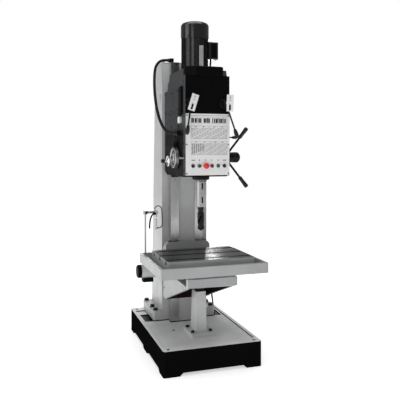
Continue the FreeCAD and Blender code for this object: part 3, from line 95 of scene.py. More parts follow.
class Tree:
    """A material's node tree, built one node at a time."""

    def __init__(self, name: str) -> None:
        """Start a material with a Principled shader."""
        self.material = bpy.data.materials.new(name)
        self.material.use_nodes = True
        self.nodes = self.material.node_tree.nodes
        self.links = self.material.node_tree.links
        self.nodes.clear()
        self.shader = self.node("ShaderNodeBsdfPrincipled")
        output = self.node("ShaderNodeOutputMaterial")
        self.links.new(self.shader.outputs[0], output.inputs[0])
        self.place = self.node("ShaderNodeTexCoord").outputs["Object"]

    def node(self, kind: str, **settings: object) -> bpy.types.Node:
        """Add a node and set its properties."""
        made = self.nodes.new(kind)
        for word, value in settings.items():
            setattr(made, word, value)
        return made

    def feed(self, target: bpy.types.NodeSocket, value: object) -> None:
        """Link a socket to another, or set it to a plain value."""
        if isinstance(value, bpy.types.NodeSocket):
            self.links.new(value, target)
        elif isinstance(value, tuple) and len(value) == 3 and target.type == "RGBA":
            target.default_value = (*value, 1.0)
        else:
            target.default_value = value

    def noise(self, scale: float, detail: float = 3.0,
              stretch: Point = (1, 1, 1)) -> bpy.types.NodeSocket:
        """Return a noise value in object space, stretched by axis."""
        mapping = self.node("ShaderNodeMapping")
        mapping.inputs["Scale"].default_value = stretch
        self.links.new(self.place, mapping.inputs["Vector"])
        made = self.node("ShaderNodeTexNoise")
        made.inputs["Scale"].default_value = scale
        made.inputs["Detail"].default_value = detail
        self.links.new(mapping.outputs[0], made.inputs["Vector"])
        return made.outputs["Fac"]

    def spread(self, source: bpy.types.NodeSocket, low: float, high: float,
               start: float = 0.3, end: float = 0.7) -> bpy.types.NodeSocket:
        """Return a value remapped between two ends.

        Args:
            source: The value to remap.
            low: The result at start.
            high: The result at end.
            start: The source value that gives low.
            end: The source value that gives high.

        Returns:
            The remapped value.
        """
        made = self.node("ShaderNodeMapRange")
        self.links.new(source, made.inputs["Value"])
        for word, value in (("From Min", start), ("From Max", end),
                            ("To Min", low), ("To Max", high)):
            made.inputs[word].default_value = value
        return made.outputs["Result"]

    def blend(self, share: object, first: object, second: object) -> bpy.types.NodeSocket:
        """Return a colour between two others."""
        made = self.node("ShaderNodeMix", data_type="RGBA")
        self.feed(made.inputs[0], share)
        self.feed(made.inputs[6], first)
        self.feed(made.inputs[7], second)
        return made.outputs[2]

    def maths(self, word: str, first: object, second: object = 0.0) -> bpy.types.NodeSocket:
        """Return the result of one arithmetic step."""
        made = self.node("ShaderNodeMath", operation=word)
        self.feed(made.inputs[0], first)
        self.feed(made.inputs[1], second)
        return made.outputs[0]

    def soft_edges(self, radius: float) -> tuple[bpy.types.NodeSocket, bpy.types.NodeSocket]:
        """Return a rounded normal and a mask of the outer edges it rounds."""
        bevel = self.node("ShaderNodeBevel", samples=4)
        bevel.inputs["Radius"].default_value = radius
        true = self.node("ShaderNodeNewGeometry").outputs["Normal"]
        dot = self.node("ShaderNodeVectorMath", operation="DOT_PRODUCT")
        self.links.new(bevel.outputs[0], dot.inputs[0])
        self.links.new(true, dot.inputs[1])
        mask = self.spread(dot.outputs["Value"], 1.0, 0.0, 0.75, 0.99)
        return bevel.outputs[0], mask

    def height(self) -> bpy.types.NodeSocket:
        """Return the height of each point in object space."""
        return self.axes().outputs["Z"]

    def axes(self) -> bpy.types.Node:
        """Return a node that gives each point's X, Y and Z in object space."""
        split = self.node("ShaderNodeSeparateXYZ")
        self.links.new(self.place, split.inputs[0])
        return split

    def settle(self, **values: float) -> None:
        """Set plain values on the shader, where a name's underscores stand for spaces."""
        for word, value in values.items():
            self.shader.inputs[word.replace("_", " ")].default_value = value

    def bump(self, height: bpy.types.NodeSocket, depth: float,
             normal: bpy.types.NodeSocket | None = None) -> bpy.types.NodeSocket:
        """Return a normal raised by a height value, in metres of depth."""
        made = self.node("ShaderNodeBump")
        made.inputs["Distance"].default_value = depth
        made.inputs["Strength"].default_value = 1.0
        self.links.new(height, made.inputs["Height"])
        if normal is not None:
            self.links.new(normal, made.inputs["Normal"])
        return made.outputs[0]


@dataclass(frozen=True)
class Finish:
    """A surface finish that makes its material once."""

    name: str
    colour: Colour

    def build(self, tree: Tree) -> None:
        """Wire the finish into a material's tree."""
        raise NotImplementedError

    def material(self) -> bpy.types.Material:
        """Return the finish's material, made on first use."""
        found = bpy.data.materials.get(self.name)
        if found is None:
            tree = Tree(self.name)
            self.build(tree)
            found = tree.material
        return found


@dataclass(frozen=True)
class CastPaint(Finish):
    """Enamel sprayed over filled castings or sheet: faint orange peel, soft edges, light wear."""

    roughness: float = 0.42
    peel: float = 0.00012
    lumps: float = 0.0009
    wear: Colour = (0.42, 0.42, 0.42)
    wear_share: float = 0.35
    edge: float = 0.0022
    gloss: float = 0.25
    shine: float = 0.4
    low_colour: Colour | None = None
    split: tuple[float, float] = (1.60, 1.70)

    def build(self, tree: Tree) -> None:
        """Wire blotches, peel, lumps, dust and worn edges."""
        normal, mask = tree.soft_edges(self.edge)
        blotch = tree.noise(2.6, 4.0)
        fine = tree.noise(34.0, 3.0)
        dark = tuple(0.86 * part for part in self.colour)
        light = tuple(min(1.0, 1.07 * part) for part in self.colour)
        base = tree.blend(tree.spread(blotch, 0.0, 1.0), dark, light)
        if self.low_colour is not None:
            high = tree.spread(tree.height(), 0.0, 1.0, *self.split)
            base = tree.blend(high, self.low_colour, base)
        base = tree.blend(tree.spread(fine, 0.0, 0.16, 0.45, 0.8), base, light)
        chips = tree.spread(tree.noise(58.0, 4.0), 0.0, 1.0, 0.5, 0.62)
        share = tree.maths("MULTIPLY", tree.maths("MULTIPLY", mask, chips), self.wear_share)
        base = tree.blend(share, base, self.wear)
        tree.feed(tree.shader.inputs["Base Color"], base)
        rough = tree.spread(tree.noise(9.0, 5.0), self.roughness - 0.07, self.roughness + 0.1)
        tree.feed(tree.shader.inputs["Roughness"], rough)
        tree.settle(Coat_Weight=self.gloss, Coat_Roughness=0.14, Specular_IOR_Level=self.shine)
        waves = tree.bump(tree.noise(11.0, 2.0), self.lumps, normal)
        peel = tree.bump(tree.noise(620.0, 2.0), self.peel, waves)
        tree.feed(tree.shader.inputs["Normal"], peel)


@dataclass(frozen=True)
class GroundSteel(Finish):
    """Bare steel ground or scraped along one axis, with oil stain, fine lay and, where given, painted
    shade along slots.
    """

    lay: Point = (1, 60, 60)
    roughness: float = 0.27
    stain: Colour = (0.30, 0.29, 0.27)
    edge: float = 0.0009
    metal: float = 1.0
    # where given: a slot's middle, pitch and band width for painted shade along the slots
    slot_band_shade: tuple[float, float, float] | None = None

    def build(self, tree: Tree) -> None:
        """Wire the grinding lay, cloudy stain, rounded edges and any bands of painted shade along slots.
        """
        normal, mask = tree.soft_edges(self.edge)
        lines = tree.noise(26.0, 5.0, self.lay)
        cloud = tree.noise(5.0, 5.0)
        base = tree.blend(tree.spread(cloud, 0.0, 0.55, 0.42, 0.75), self.colour, self.stain)
        pale = tuple(min(1.0, 1.25 * part) for part in self.colour)
        base = tree.blend(tree.spread(lines, 0.0, 0.3), base, pale)
        # painted shade: a darker band beside each slot
        if self.slot_band_shade is not None:
            middle, pitch, wide = self.slot_band_shade
            along = tree.maths("SUBTRACT", tree.axes().outputs["Y"], middle)
            away = tree.maths("PINGPONG", along, pitch / 2)
            base = tree.blend(tree.spread(away, 0.85, 0.0, wide * 0.5, wide), base, SLOT_BAND_SHADE)
        base = tree.blend(tree.maths("MULTIPLY", mask, 0.5), base, RUBBED)
        tree.feed(tree.shader.inputs["Base Color"], base)
        rough = tree.spread(lines, self.roughness - 0.07, self.roughness + 0.12)
        tree.feed(tree.shader.inputs["Roughness"], rough)
        tree.settle(Metallic=self.metal, Anisotropic=0.45)
        tree.feed(tree.shader.inputs["Normal"], tree.bump(lines, 0.00004, normal))


@dataclass(frozen=True)
class Moulded(Finish):
    """Moulded or dipped plastic: fine grain, rubbed edges and a soft shine."""

    roughness: float = 0.34
    grain: float = 0.00005
    grain_scale: float = 900.0
    gloss: float = 0.3
    shine: float = 0.4

    def build(self, tree: Tree) -> None:
        """Wire the moulding grain, handling marks and rubbed edges."""
        normal, mask = tree.soft_edges(0.0008)
        marks = tree.noise(40.0, 5.0)
        pale = tuple(min(1.0, 1.6 * part + 0.015) for part in self.colour)
        base = tree.blend(tree.spread(marks, 0.0, 0.4), self.colour, pale)
        base = tree.blend(tree.maths("MULTIPLY", mask, 0.5), base, pale)
        tree.feed(tree.shader.inputs["Base Color"], base)
        rough = tree.spread(marks, self.roughness - 0.08, self.roughness + 0.12)
        tree.feed(tree.shader.inputs["Roughness"], rough)
        tree.settle(Coat_Weight=self.gloss, Coat_Roughness=0.1, Specular_IOR_Level=self.shine)
        grain = tree.bump(tree.noise(self.grain_scale, 2.0), self.grain, normal)
        tree.feed(tree.shader.inputs["Normal"], grain)


@dataclass(frozen=True)
class Rubber(Finish):
    """Matt rubber or braided conduit with dust in its grain."""

    roughness: float = 0.6
    shine: float = 0.12

    def build(self, tree: Tree) -> None:
        """Wire dust over a dull grain."""
        tree.settle(Specular_IOR_Level=self.shine)
        dust = tree.noise(70.0, 5.0)
        pale = tuple(part + 0.012 for part in self.colour)
        base = tree.blend(tree.spread(dust, 0.0, 0.7, 0.45, 0.8), self.colour, pale)
        tree.feed(tree.shader.inputs["Base Color"], base)
        rough = tree.spread(dust, self.roughness - 0.1, self.roughness + 0.15)
        tree.feed(tree.shader.inputs["Roughness"], rough)
        scale, depth = FINE_DUST
        tree.feed(tree.shader.inputs["Normal"], tree.bump(tree.noise(scale, 2.0), depth))


GREY = CastPaint("grey_enamel", (0.54, 0.545, 0.55))
# the machine's grey enamel painted darker on the knee: painted shade
KNEE_GREY_SHADED = CastPaint("knee_enamel_painted_shade", (0.40, 0.405, 0.41))
# the machine's grey enamel painted lighter on the screw housing: painted light where it stands in shade
PALE_GREY_LIT = CastPaint("housing_enamel_painted_light", (0.70, 0.705, 0.71))
# the machine's grey enamel painted darker on the tray and the table's sides: painted shade
TRAY_GREY_SHADED = CastPaint("tray_enamel_painted_shade", (0.43, 0.435, 0.44), edge=0.003)
DARK_GREY = CastPaint("head_enamel", (0.050, 0.053, 0.056), wear=(0.20, 0.20, 0.20), gloss=0.08,
                      roughness=0.42, shine=0.12)
COVER_GREY = CastPaint("cover_enamel", (0.038, 0.040, 0.042), wear=(0.25, 0.25, 0.25), gloss=0.08,
                       shine=0.12)
BLACK = CastPaint("black_enamel", (0.0035, 0.0035, 0.004), wear=(0.08, 0.08, 0.08), gloss=0.02,
                  shine=0.03, roughness=0.4)
MOTOR_BLACK = CastPaint("motor_enamel", (0.006, 0.006, 0.0065), wear=(0.2, 0.2, 0.2), gloss=0.3,
                        shine=0.5, roughness=0.14, edge=0.0012, lumps=0.0003)
BASE_BLACK = CastPaint("base_enamel", (0.0045, 0.0045, 0.005), wear=(0.14, 0.135, 0.13), gloss=0.0,
                       shine=0.0, roughness=0.7, lumps=0.0018)
# red primer tone, painted near-black as shade inside the knee's hollow
PRIMER_AND_SHADE = CastPaint("primer_and_painted_shade", (0.012, 0.004, 0.0035), roughness=0.7, gloss=0.0, shine=0.15,
                   wear=(0.05, 0.02, 0.02))
WHITE = CastPaint("panel_enamel", (0.86, 0.86, 0.86), roughness=0.35, lumps=0.0001,
                  wear=(0.5, 0.5, 0.5), wear_share=0.2)
GROUND_UP = GroundSteel("ground_guide", (0.50, 0.50, 0.50), lay=(60, 60, 1))
# the table top carries bands of painted shade beside its slots
GROUND_ACROSS = GroundSteel("ground_table", (0.17, 0.17, 0.167), lay=(1, 60, 60), roughness=0.27,
                            stain=(0.07, 0.068, 0.066), slot_band_shade=TABLE_SLOTS)
TURNED = GroundSteel("turned_steel", (0.40, 0.40, 0.40), lay=(1, 1, 60), roughness=0.27,
                     stain=(0.33, 0.33, 0.33))
SATIN = GroundSteel("satin_chrome", (0.46, 0.46, 0.47), lay=(30, 6, 6), roughness=0.34,
                    stain=(0.40, 0.40, 0.41))
BRIGHT = GroundSteel("bright_plating", (0.78, 0.78, 0.78), lay=(8, 8, 8), roughness=0.13,
                     stain=(0.6, 0.6, 0.6))
TOOL_STEEL = GroundSteel("blued_tool_steel", (0.022, 0.022, 0.024), lay=(6, 6, 30), roughness=0.28,
                         stain=(0.01, 0.01, 0.011))
BLACK_OXIDE = GroundSteel("black_oxide", (0.022, 0.022, 0.023), lay=(8, 8, 8), roughness=0.42,
                          stain=(0.01, 0.01, 0.01), edge=0.0003)
PHENOLIC = Moulded("black_phenolic", (0.005, 0.005, 0.0055), gloss=0.15, roughness=0.32, shine=0.25)
RED = Moulded("red_moulding", (0.62, 0.02, 0.02), gloss=0.5)
DARK_RED = Moulded("dark_red_moulding", (0.14, 0.008, 0.012), gloss=0.25, shine=0.2)
GREEN = Moulded("green_moulding", (0.012, 0.10, 0.042), gloss=0.25, shine=0.2)
INK = Moulded("printed_ink", (0.006, 0.006, 0.007), gloss=0.0, roughness=0.5, shine=0.1)
PALE_INK = Moulded("pale_ink", (0.12, 0.122, 0.125), gloss=0.0, roughness=0.5, shine=0.1)
CHART_INK = Moulded("chart_ink", (0.045, 0.045, 0.048), gloss=0.0, roughness=0.5, shine=0.1)
HOSE = Rubber("black_conduit", (0.012, 0.012, 0.012))
GREY_HOSE = Rubber("grey_conduit", (0.07, 0.07, 0.07))
HEAD_SIDE = CastPaint("head_side_enamel", (0.055, 0.057, 0.060), wear=(0.1, 0.1, 0.1), gloss=0.02,
                      roughness=0.45, shine=0.05, low_colour=(0.003, 0.0033, 0.0036),
                      split=HEAD_SPLIT)
BASE_TOP = CastPaint("base_top_enamel", (0.88, 0.885, 0.89), lumps=0.0016, roughness=0.6, gloss=0.0,
                     shine=0.2)
# painted shade: near-black for faces deep inside the table's T-slots and the spindle's drift slots
SLOT_SHADE = CastPaint("painted_slot_shade", (0.012, 0.012, 0.012), gloss=0.0, shine=0.05, roughness=0.6,
                      wear=(0.03, 0.03, 0.03))
SILVER = CastPaint("aluminium_paint", (0.74, 0.745, 0.75), roughness=0.34, gloss=0.3,
                   wear=(0.7, 0.7, 0.7))
PALE_TAG = GroundSteel("etched_tag", (0.80, 0.80, 0.80), lay=(4, 4, 30), roughness=0.3,
                       stain=(0.6, 0.6, 0.6))
OIL_GLASS = Moulded("oil_glass", (0.35, 0.22, 0.05), gloss=1.0, roughness=0.15)
SHROUD_RED = Moulded("red_shroud", (0.45, 0.06, 0.04), gloss=0.4)
RUBBER_BLACK = Rubber("black_rubber", (0.010, 0.010, 0.010))


# ---------------------------------------------------------------- shaping


class Blank:
    """Stock that is shaped step by step and then made into one named piece."""

    def __init__(self) -> None:
        """Start with nothing."""
        self.mesh = bmesh.new()

    def slab(self, low: Point, high: Point, edge: float = 0.0005, turn: Matrix | None = None) -> "Blank":
        """Add a block with rolled edges between two corners.

        Args:
            low: The lowest corner.
            high: The highest corner.
            edge: The radius of its edges, or 0 for sharp ones.
            turn: Where the block is moved to, if not where it was drawn.

        Returns:
            The blank, so that shapes chain.
        """
        near, far = Vector(low), Vector(high)
        corners = bmesh.ops.create_cube(self.mesh, size=1.0)["verts"]
        bmesh.ops.scale(self.mesh, vec=far - near, verts=corners)
        bmesh.ops.translate(self.mesh, vec=(near + far) / 2, verts=corners)
        if turn is not None:
            bmesh.ops.transform(self.mesh, matrix=turn, verts=corners)
        if edge > 0:
            sides = {side for corner in corners for side in corner.link_edges}
            bmesh.ops.bevel(self.mesh, geom=list(sides), offset=edge, segments=2, profile=0.6,
                            affect="EDGES")
        return self

    def loft(self, rings: list[list[Vector]], capped: bool = True) -> "Blank":
        """Add a skin over closed rings of points, with flat ends."""
        rows = [[self.mesh.verts.new(point) for point in ring] for ring in rings]
        for here, there in zip(rows, rows[1:]):
            for i, vert in enumerate(here):
                j = (i + 1) % len(here)
                self.mesh.faces.new((vert, here[j], there[j], there[i]))
        if capped:
            self.mesh.faces.new(rows[0][::-1])
            self.mesh.faces.new(rows[-1])
        return self

    def turn(self, profile: Sequence[tuple[float, float]], place: Matrix, steps: int = 40) -> "Blank":
        """Add a turned shape.

        Args:
            profile: Radius and height pairs, from one end to the other.
            place: The frame whose Z is the shape's axis.
            steps: How many sides the round has.

        Returns:
            The blank, so that shapes chain.
        """
        rings = []
        for radius, height in profile:
            ring = []
            for i in range(steps):
                angle = math.tau * i / steps
                across = max(radius, 0.0001)
                ring.append(place @ Vector((across * math.cos(angle), across * math.sin(angle), height)))
            rings.append(ring)
        return self.loft(rings)

    def tube(self, line: list[Vector], radius: float, rib: float = 0.0, pitch: float = 0.0042,
             sides: int = 14) -> "Blank":
        """Add a tube along a line, smooth or ribbed.

        Args:
            line: The points it follows.
            radius: Its outside radius.
            rib: How deep the grooves between its ribs are.
            pitch: The length of one rib.
            sides: How many sides the round has.

        Returns:
            The blank, so that shapes chain.
        """
        step = pitch / 4 if rib else 0.004
        stations = spaced(line, step)
        depths = (0.0, 0.35, 1.0, 0.35)
        ahead = (stations[1] - stations[0]).normalized()
        side = ahead.orthogonal().normalized()
        rings = []
        for i, here in enumerate(stations):
            near = stations[max(i - 1, 0)]
            far = stations[min(i + 1, len(stations) - 1)]
            along = (far - near).normalized()
            side = (side - along * side.dot(along)).normalized()
            up = along.cross(side)
            across = radius - rib * depths[i % 4]
            ring = []
            for k in range(sides):
                angle = math.tau * k / sides
                ring.append(here + across * (side * math.cos(angle) + up * math.sin(angle)))
            rings.append(ring)
        return self.loft(rings)

    def piece(self, name: str, finish: Finish, body: str | None, slot: str,
              crease: float = 32.0) -> bpy.types.Object:
        """Turn the blank into a named object.

        Args:
            name: The piece's name.
            finish: Its surface.
            body: The body that it rides on, or None for one that is attached to no body.
            slot: The record's material slot that it belongs to; not used.
            crease: The angle in degrees past which an edge stays sharp.

        Returns:
            The new object.
        """
        bmesh.ops.recalc_face_normals(self.mesh, faces=self.mesh.faces)
        data = bpy.data.meshes.new(name)
        self.mesh.to_mesh(data)
        self.mesh.free()
        data.shade_smooth()
        data.set_sharp_from_angle(angle=math.radians(crease))
        data.materials.append(finish.material())
        made = bpy.data.objects.new(name, data)
        bpy.context.scene.collection.objects.link(made)
        if body is not None:
            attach(made, body)
        LOG.info("%s rides on %s", name, body)
        return made


def spaced(line: list[Vector], step: float) -> list[Vector]:
    """Return points a set distance apart along a line."""
    found = [line[0].copy()]
    left = step
    for near, far in zip(line, line[1:]):
        span = (far - near).length
        walked = 0.0
        while span - walked >= left:
            walked += left
            found.append(near.lerp(far, walked / span))
            left = step
        left -= span - walked
    if (found[-1] - line[-1]).length > step * 0.3:
        found.append(line[-1].copy())
    else:
        found[-1] = line[-1].copy()
    return found


def dress(finish: Finish, *nodes: str) -> None:
    """Give whole CAD nodes one finish."""
    for node in nodes:
        slots = NODES[node].data.materials
        slots.clear()
        slots.append(finish.material())
        LOG.info("%s dressed in %s", node, finish.name)


def dress_faces(node: str, finish: Finish, chosen: Callable[[Vector, Vector], bool]) -> None:
    """Give some faces of a CAD node another finish.

    Args:
        node: The CAD node.
        finish: The finish of the chosen faces.
        chosen: Says from a face's centre and normal whether it is one of them.
    """
    data = NODES[node].data
    data.materials.append(finish.material())
    place = len(data.materials) - 1
    for face in data.polygons:
        if chosen(face.center, face.normal):
            face.material_index = place


def hex_bolt(blank: Blank, at: Point, way: Way, across: float, tall: float, washer: bool = True) -> None:
    """Add a chamfered hexagon bolt head to a blank, on a washer or bare."""
    place = way.at(at)
    start = 0.0
    if washer:
        start = tall * 0.22
        rim = across * 0.78
        blank.turn([(across * 0.72, 0), (rim, start * 0.3), (rim, start), (0, start)], place, 28)
    flat, corner = across * 0.5, across * 0.577
    head = [(flat, start), (corner, start + tall * 0.08), (corner, start + tall * 0.85),
            (flat, start + tall), (0, start + tall)]
    blank.turn(head, place, 6)


def socket_screw(blank: Blank, at: Point, way: Way, across: float, tall: float) -> None:
    """Add a round socket-head screw with its recess to a blank."""
    half = across / 2
    head = [(half * 0.9, 0), (half, tall * 0.15), (half, tall * 0.8), (half * 0.86, tall),
            (half * 0.5, tall), (half * 0.42, tall * 0.45), (0, tall * 0.42)]
    blank.turn(head, way.at(at), 24)


def screw_set(name: str, body: str, spots: dict[Way, Iterable[Point]], across: float, tall: float,
              bright: bool = False) -> None:
    """Make one piece of socket-head screws that share a size.

    Args:
        name: The piece's name.
        body: The body that it rides on.
        spots: Where the screws sit, by the way that their heads face.
        across: The diameter of their heads.
        tall: The height of their heads.
        bright: Whether they are plated, and not blackened.
    """
    screws = Blank()
    for way, places in spots.items():
        for at in places:
            socket_screw(screws, at, way, across, tall)
    finish, slot = (BRIGHT, "bright_steel") if bright else (BLACK_OXIDE, "dark_steel")
    screws.piece(name, finish, body, slot)


def around(count: int, origin: Point, axis: str, shift: float = 0.0) -> list[Matrix]:
    """Return frames at a point, turned evenly round an axis from a share of a step."""
    turns = [math.tau * (i + shift) / count for i in range(count)]
    return [Matrix.Translation(origin) @ Matrix.Rotation(turn, 4, axis) for turn in turns]


# ---------------------------------------------------------------- cables


class Lay(Enum):
    """How a cable's skin is made."""

    RIBBED = 0.0008
    FINE = 0.0004
    SMOOTH = 0.0


@dataclass
class Cable:
    """A cable, conduit or hose on one smooth line through the guide of its route."""

    name: str
    route: tuple[Point, ...]
    diameter: float
    body: str
    slot: str
    finish: Finish
    stiffness: str
    lay: Lay = Lay.SMOOTH
    far_body: str | None = None
    gap: tuple[Point, Point] = ((0, 0, 0), (0, 0, 0))

    def line(self) -> list[Vector]:
        """Return points along the smooth line that the route guides."""
        curve = bpy.data.curves.new(self.name + "_line", "CURVE")
        curve.dimensions = "3D"
        spline = curve.splines.new("NURBS")
        spline.points.add(len(self.route) - 1)
        for point, place in zip(spline.points, self.route):
            point.co = (*place, 1.0)
        spline.order_u = 3
        spline.use_endpoint_u = True
        spline.resolution_u = 20
        holder = bpy.data.objects.new(self.name + "_line", curve)
        bpy.context.scene.collection.objects.link(holder)
        bpy.context.view_layer.update()
        mesh = bpy.data.meshes.new_from_object(holder)
        points = [vert.co.copy() for vert in mesh.vertices]
        bpy.data.objects.remove(holder)
        return points

    def build(self, node: str) -> bpy.types.Object:
        """Args:
            node: The CAD node that it stands for.

        Returns:
            The tube.
        """
        line = self.line()
        length = sum((far - near).length for near, far in zip(line, line[1:]))
        body = self.body if self.far_body is None else None
        tube = Blank().tube(line, self.diameter / 2, self.lay.value)
        made = tube.piece(self.name, self.finish, body, self.slot, 60)
        if self.far_body is not None:
            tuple(self.gap[0])
            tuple(self.gap[1])
            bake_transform(made)
        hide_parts(node)
        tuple(self.route[0])
        [tuple(point) for point in line]
        LOG.info("%s is %.3f m long", self.name, length)
        return made


@dataclass
class Wiring:
    """The four free cables and hoses of the machine."""

    def build(self) -> None:
        """Make each cable from where it leaves the machine to where it goes back in."""
        Cable("head_supply_conduit", (
            (-0.13, 0.189, 2.229), (-0.17, 0.189, 2.229), (-0.207, 0.183, 2.208),
            (-0.232, 0.171, 2.172), (-0.244, 0.155, 2.127), (-0.252, 0.134, 2.073),
            (-0.258, 0.109, 2.017), (-0.262, 0.082, 1.961), (-0.264, 0.054, 1.906),
            (-0.264, 0.024, 1.852), (-0.262, -0.009, 1.8), (-0.258, -0.044, 1.752),
            (-0.252, -0.082, 1.71), (-0.243, -0.121, 1.674), (-0.231, -0.161, 1.648),
            (-0.215, -0.2164, 1.633), (-0.2, -0.2424, 1.633),
        ), 0.022, "frame", "rubber", HOSE, "stiff", Lay.RIBBED, "head",
            ((-0.240, 0.160, 2.140), (-0.238, -0.140, 1.665))).build("head_conduit")
        Cable("base_supply_conduit", (
            (0.206, 0.300, 0.420), (0.231, 0.300, 0.420), (0.253, 0.299, 0.407), (0.265, 0.297, 0.385),
            (0.270, 0.290, 0.351), (0.275, 0.281, 0.311), (0.279, 0.272, 0.269), (0.281, 0.265, 0.222),
            (0.281, 0.265, 0.175),
        ), 0.014, "frame", "rubber", GREY_HOSE, "stiff", Lay.RIBBED).build("lower_conduit")
        Cable("motor_supply_lead", (
            (0.126, -0.115, 2.195), (0.126, -0.115, 2.169), (0.121, -0.116, 2.141),
            (0.117, -0.116, 2.113), (0.117, -0.116, 2.085),
        ), 0.014, "head", "rubber", HOSE, "stiff", Lay.FINE).build("motor_lead")
        Cable("coolant_supply_hose", (
            (-0.257, 0.106, 1.045), (-0.257, 0.106, 1.058), (-0.2495, 0.106, 1.071),
            (-0.2365, 0.106, 1.0785), (-0.2215, 0.1055, 1.0785), (-0.2085, 0.105, 1.071),
            (-0.201, 0.105, 1.058), (-0.199, 0.105, 1.033), (-0.197, 0.106, 1.004),
            (-0.1955, 0.107, 0.974), (-0.195, 0.107, 0.946), (-0.1955, 0.107, 0.9275),
            (-0.203, 0.1065, 0.9145), (-0.216, 0.106, 0.907), (-0.229, 0.106, 0.907),
        ), 0.007, "knee", "rubber", HOSE, "medium").build("coolant_hose")


# ---------------------------------------------------------------- sub-assemblies


@dataclass
class Base:
    """The base casting with its fixing bolts, well plug and glands."""

    top: float = 0.162
    washer: float = 0.0195
    head_tall: float = 0.020
    plug: Point = (-0.075, -0.01, 0.1672)

    def build(self) -> None:
        """Dress the casting and add its washers and plug."""
        dress(BASE_BLACK, "base_casting")
        dress_faces("base_casting", BASE_TOP,
                    lambda centre, normal: centre.z > self.top and normal.z > 0.5)
        dress(BLACK_OXIDE, "conduit_glands", "column_bolts", "housing_bolts")
        self.washers()
        low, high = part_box("screw_housing")
        across, back, up = self.plug
        plug = Blank()
        hex_bolt(plug, (low.x + across, high.y + back, up), Way.UP, 0.016, 0.004, washer=False)
        plug.piece("sump_plug", BLACK_OXIDE, "frame", "dark_steel")

    def washers(self) -> None:
        """Put a washer under each bolt of the column's flange."""
        low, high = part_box("column_bolts")
        wide = self.washer
        rim = [(wide * 0.98, 0.0), (wide * 1.08, 0.0008), (wide * 1.08, 0.0032), (wide, 0.004)]
        rings = Blank()
        for x in (low.x + wide, high.x - wide):
            for y in (low.y + wide, (low.y + high.y) / 2, high.y - wide):
                rings.turn(rim, Way.UP.at((x, y, high.z - self.head_tall)), 36)
        rings.piece("flange_washers", TURNED, "frame", "ground_steel")


@dataclass
class Column:
    """The tapered box column, its guide, cap and rear cover."""

    slats: int = 9
    slat_pitch: float = 0.026
    slat_middle: float = 0.16
    cover_run: tuple[float, float] = (0.130, 2.025)
    side: float = -0.185
    cap_inset: float = 0.016

    def build(self) -> None:
        """Dress the column and add its cap's screws and a blank rating plate."""
        dress(GREY, "column_casting", "column_cap", "rear_cover")
        dress(GROUND_UP, "guide_strips")
        # screw housing in grey painted lighter to make up for its shade
        dress(PALE_GREY_LIT, "screw_housing")
        dress(BLACK_OXIDE, "lift_nut", "column_gland")
        self.rear_cover()
        low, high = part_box("column_cap")
        inset = self.cap_inset
        across, deep = (low.x + inset, high.x - inset), (low.y + inset, high.y - inset)
        corners = product(across, deep, (high.z - 0.0003,))
        screw_set("column_cap_screws", "frame", {Way.UP: corners}, 0.013, 0.006)
        plate = Blank().slab((self.side - 0.0014, 0.185, 1.905), (self.side + 0.0004, 0.222, 1.960))
        plate.piece("column_tag", PALE_TAG, "frame", "bright_steel")

    def rear_cover(self) -> None:
        """Press louvres and fit screws on the rear cover."""
        low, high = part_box("rear_cover")
        middle = (low + high) / 2
        tilt = Matrix.Rotation(math.atan2(*self.cover_run), 4, "X")
        face = Matrix.Translation((0, middle.y + 0.0023, middle.z)) @ tilt
        slats = Blank()
        for i in range(self.slats):
            height = self.slat_middle + (i - self.slats // 2) * self.slat_pitch
            slats.slab((-0.095, -0.001, height - 0.007), (0.095, 0.0045, height + 0.002), 0.002, face)
        slats.piece("cover_louvres", GREY, "frame", "grey_paint")
        reach_x = high.x - 0.014
        reach_z = (high.z - low.z) / 2 - 0.016
        spots = product((-reach_x, reach_x), (-0.0002,), (-reach_z, 0.0, reach_z))
        placed = [tuple(face @ Vector(spot)) for spot in spots]
        screw_set("rear_cover_screws", "frame", {Way.BACK: placed}, 0.010, 0.005)


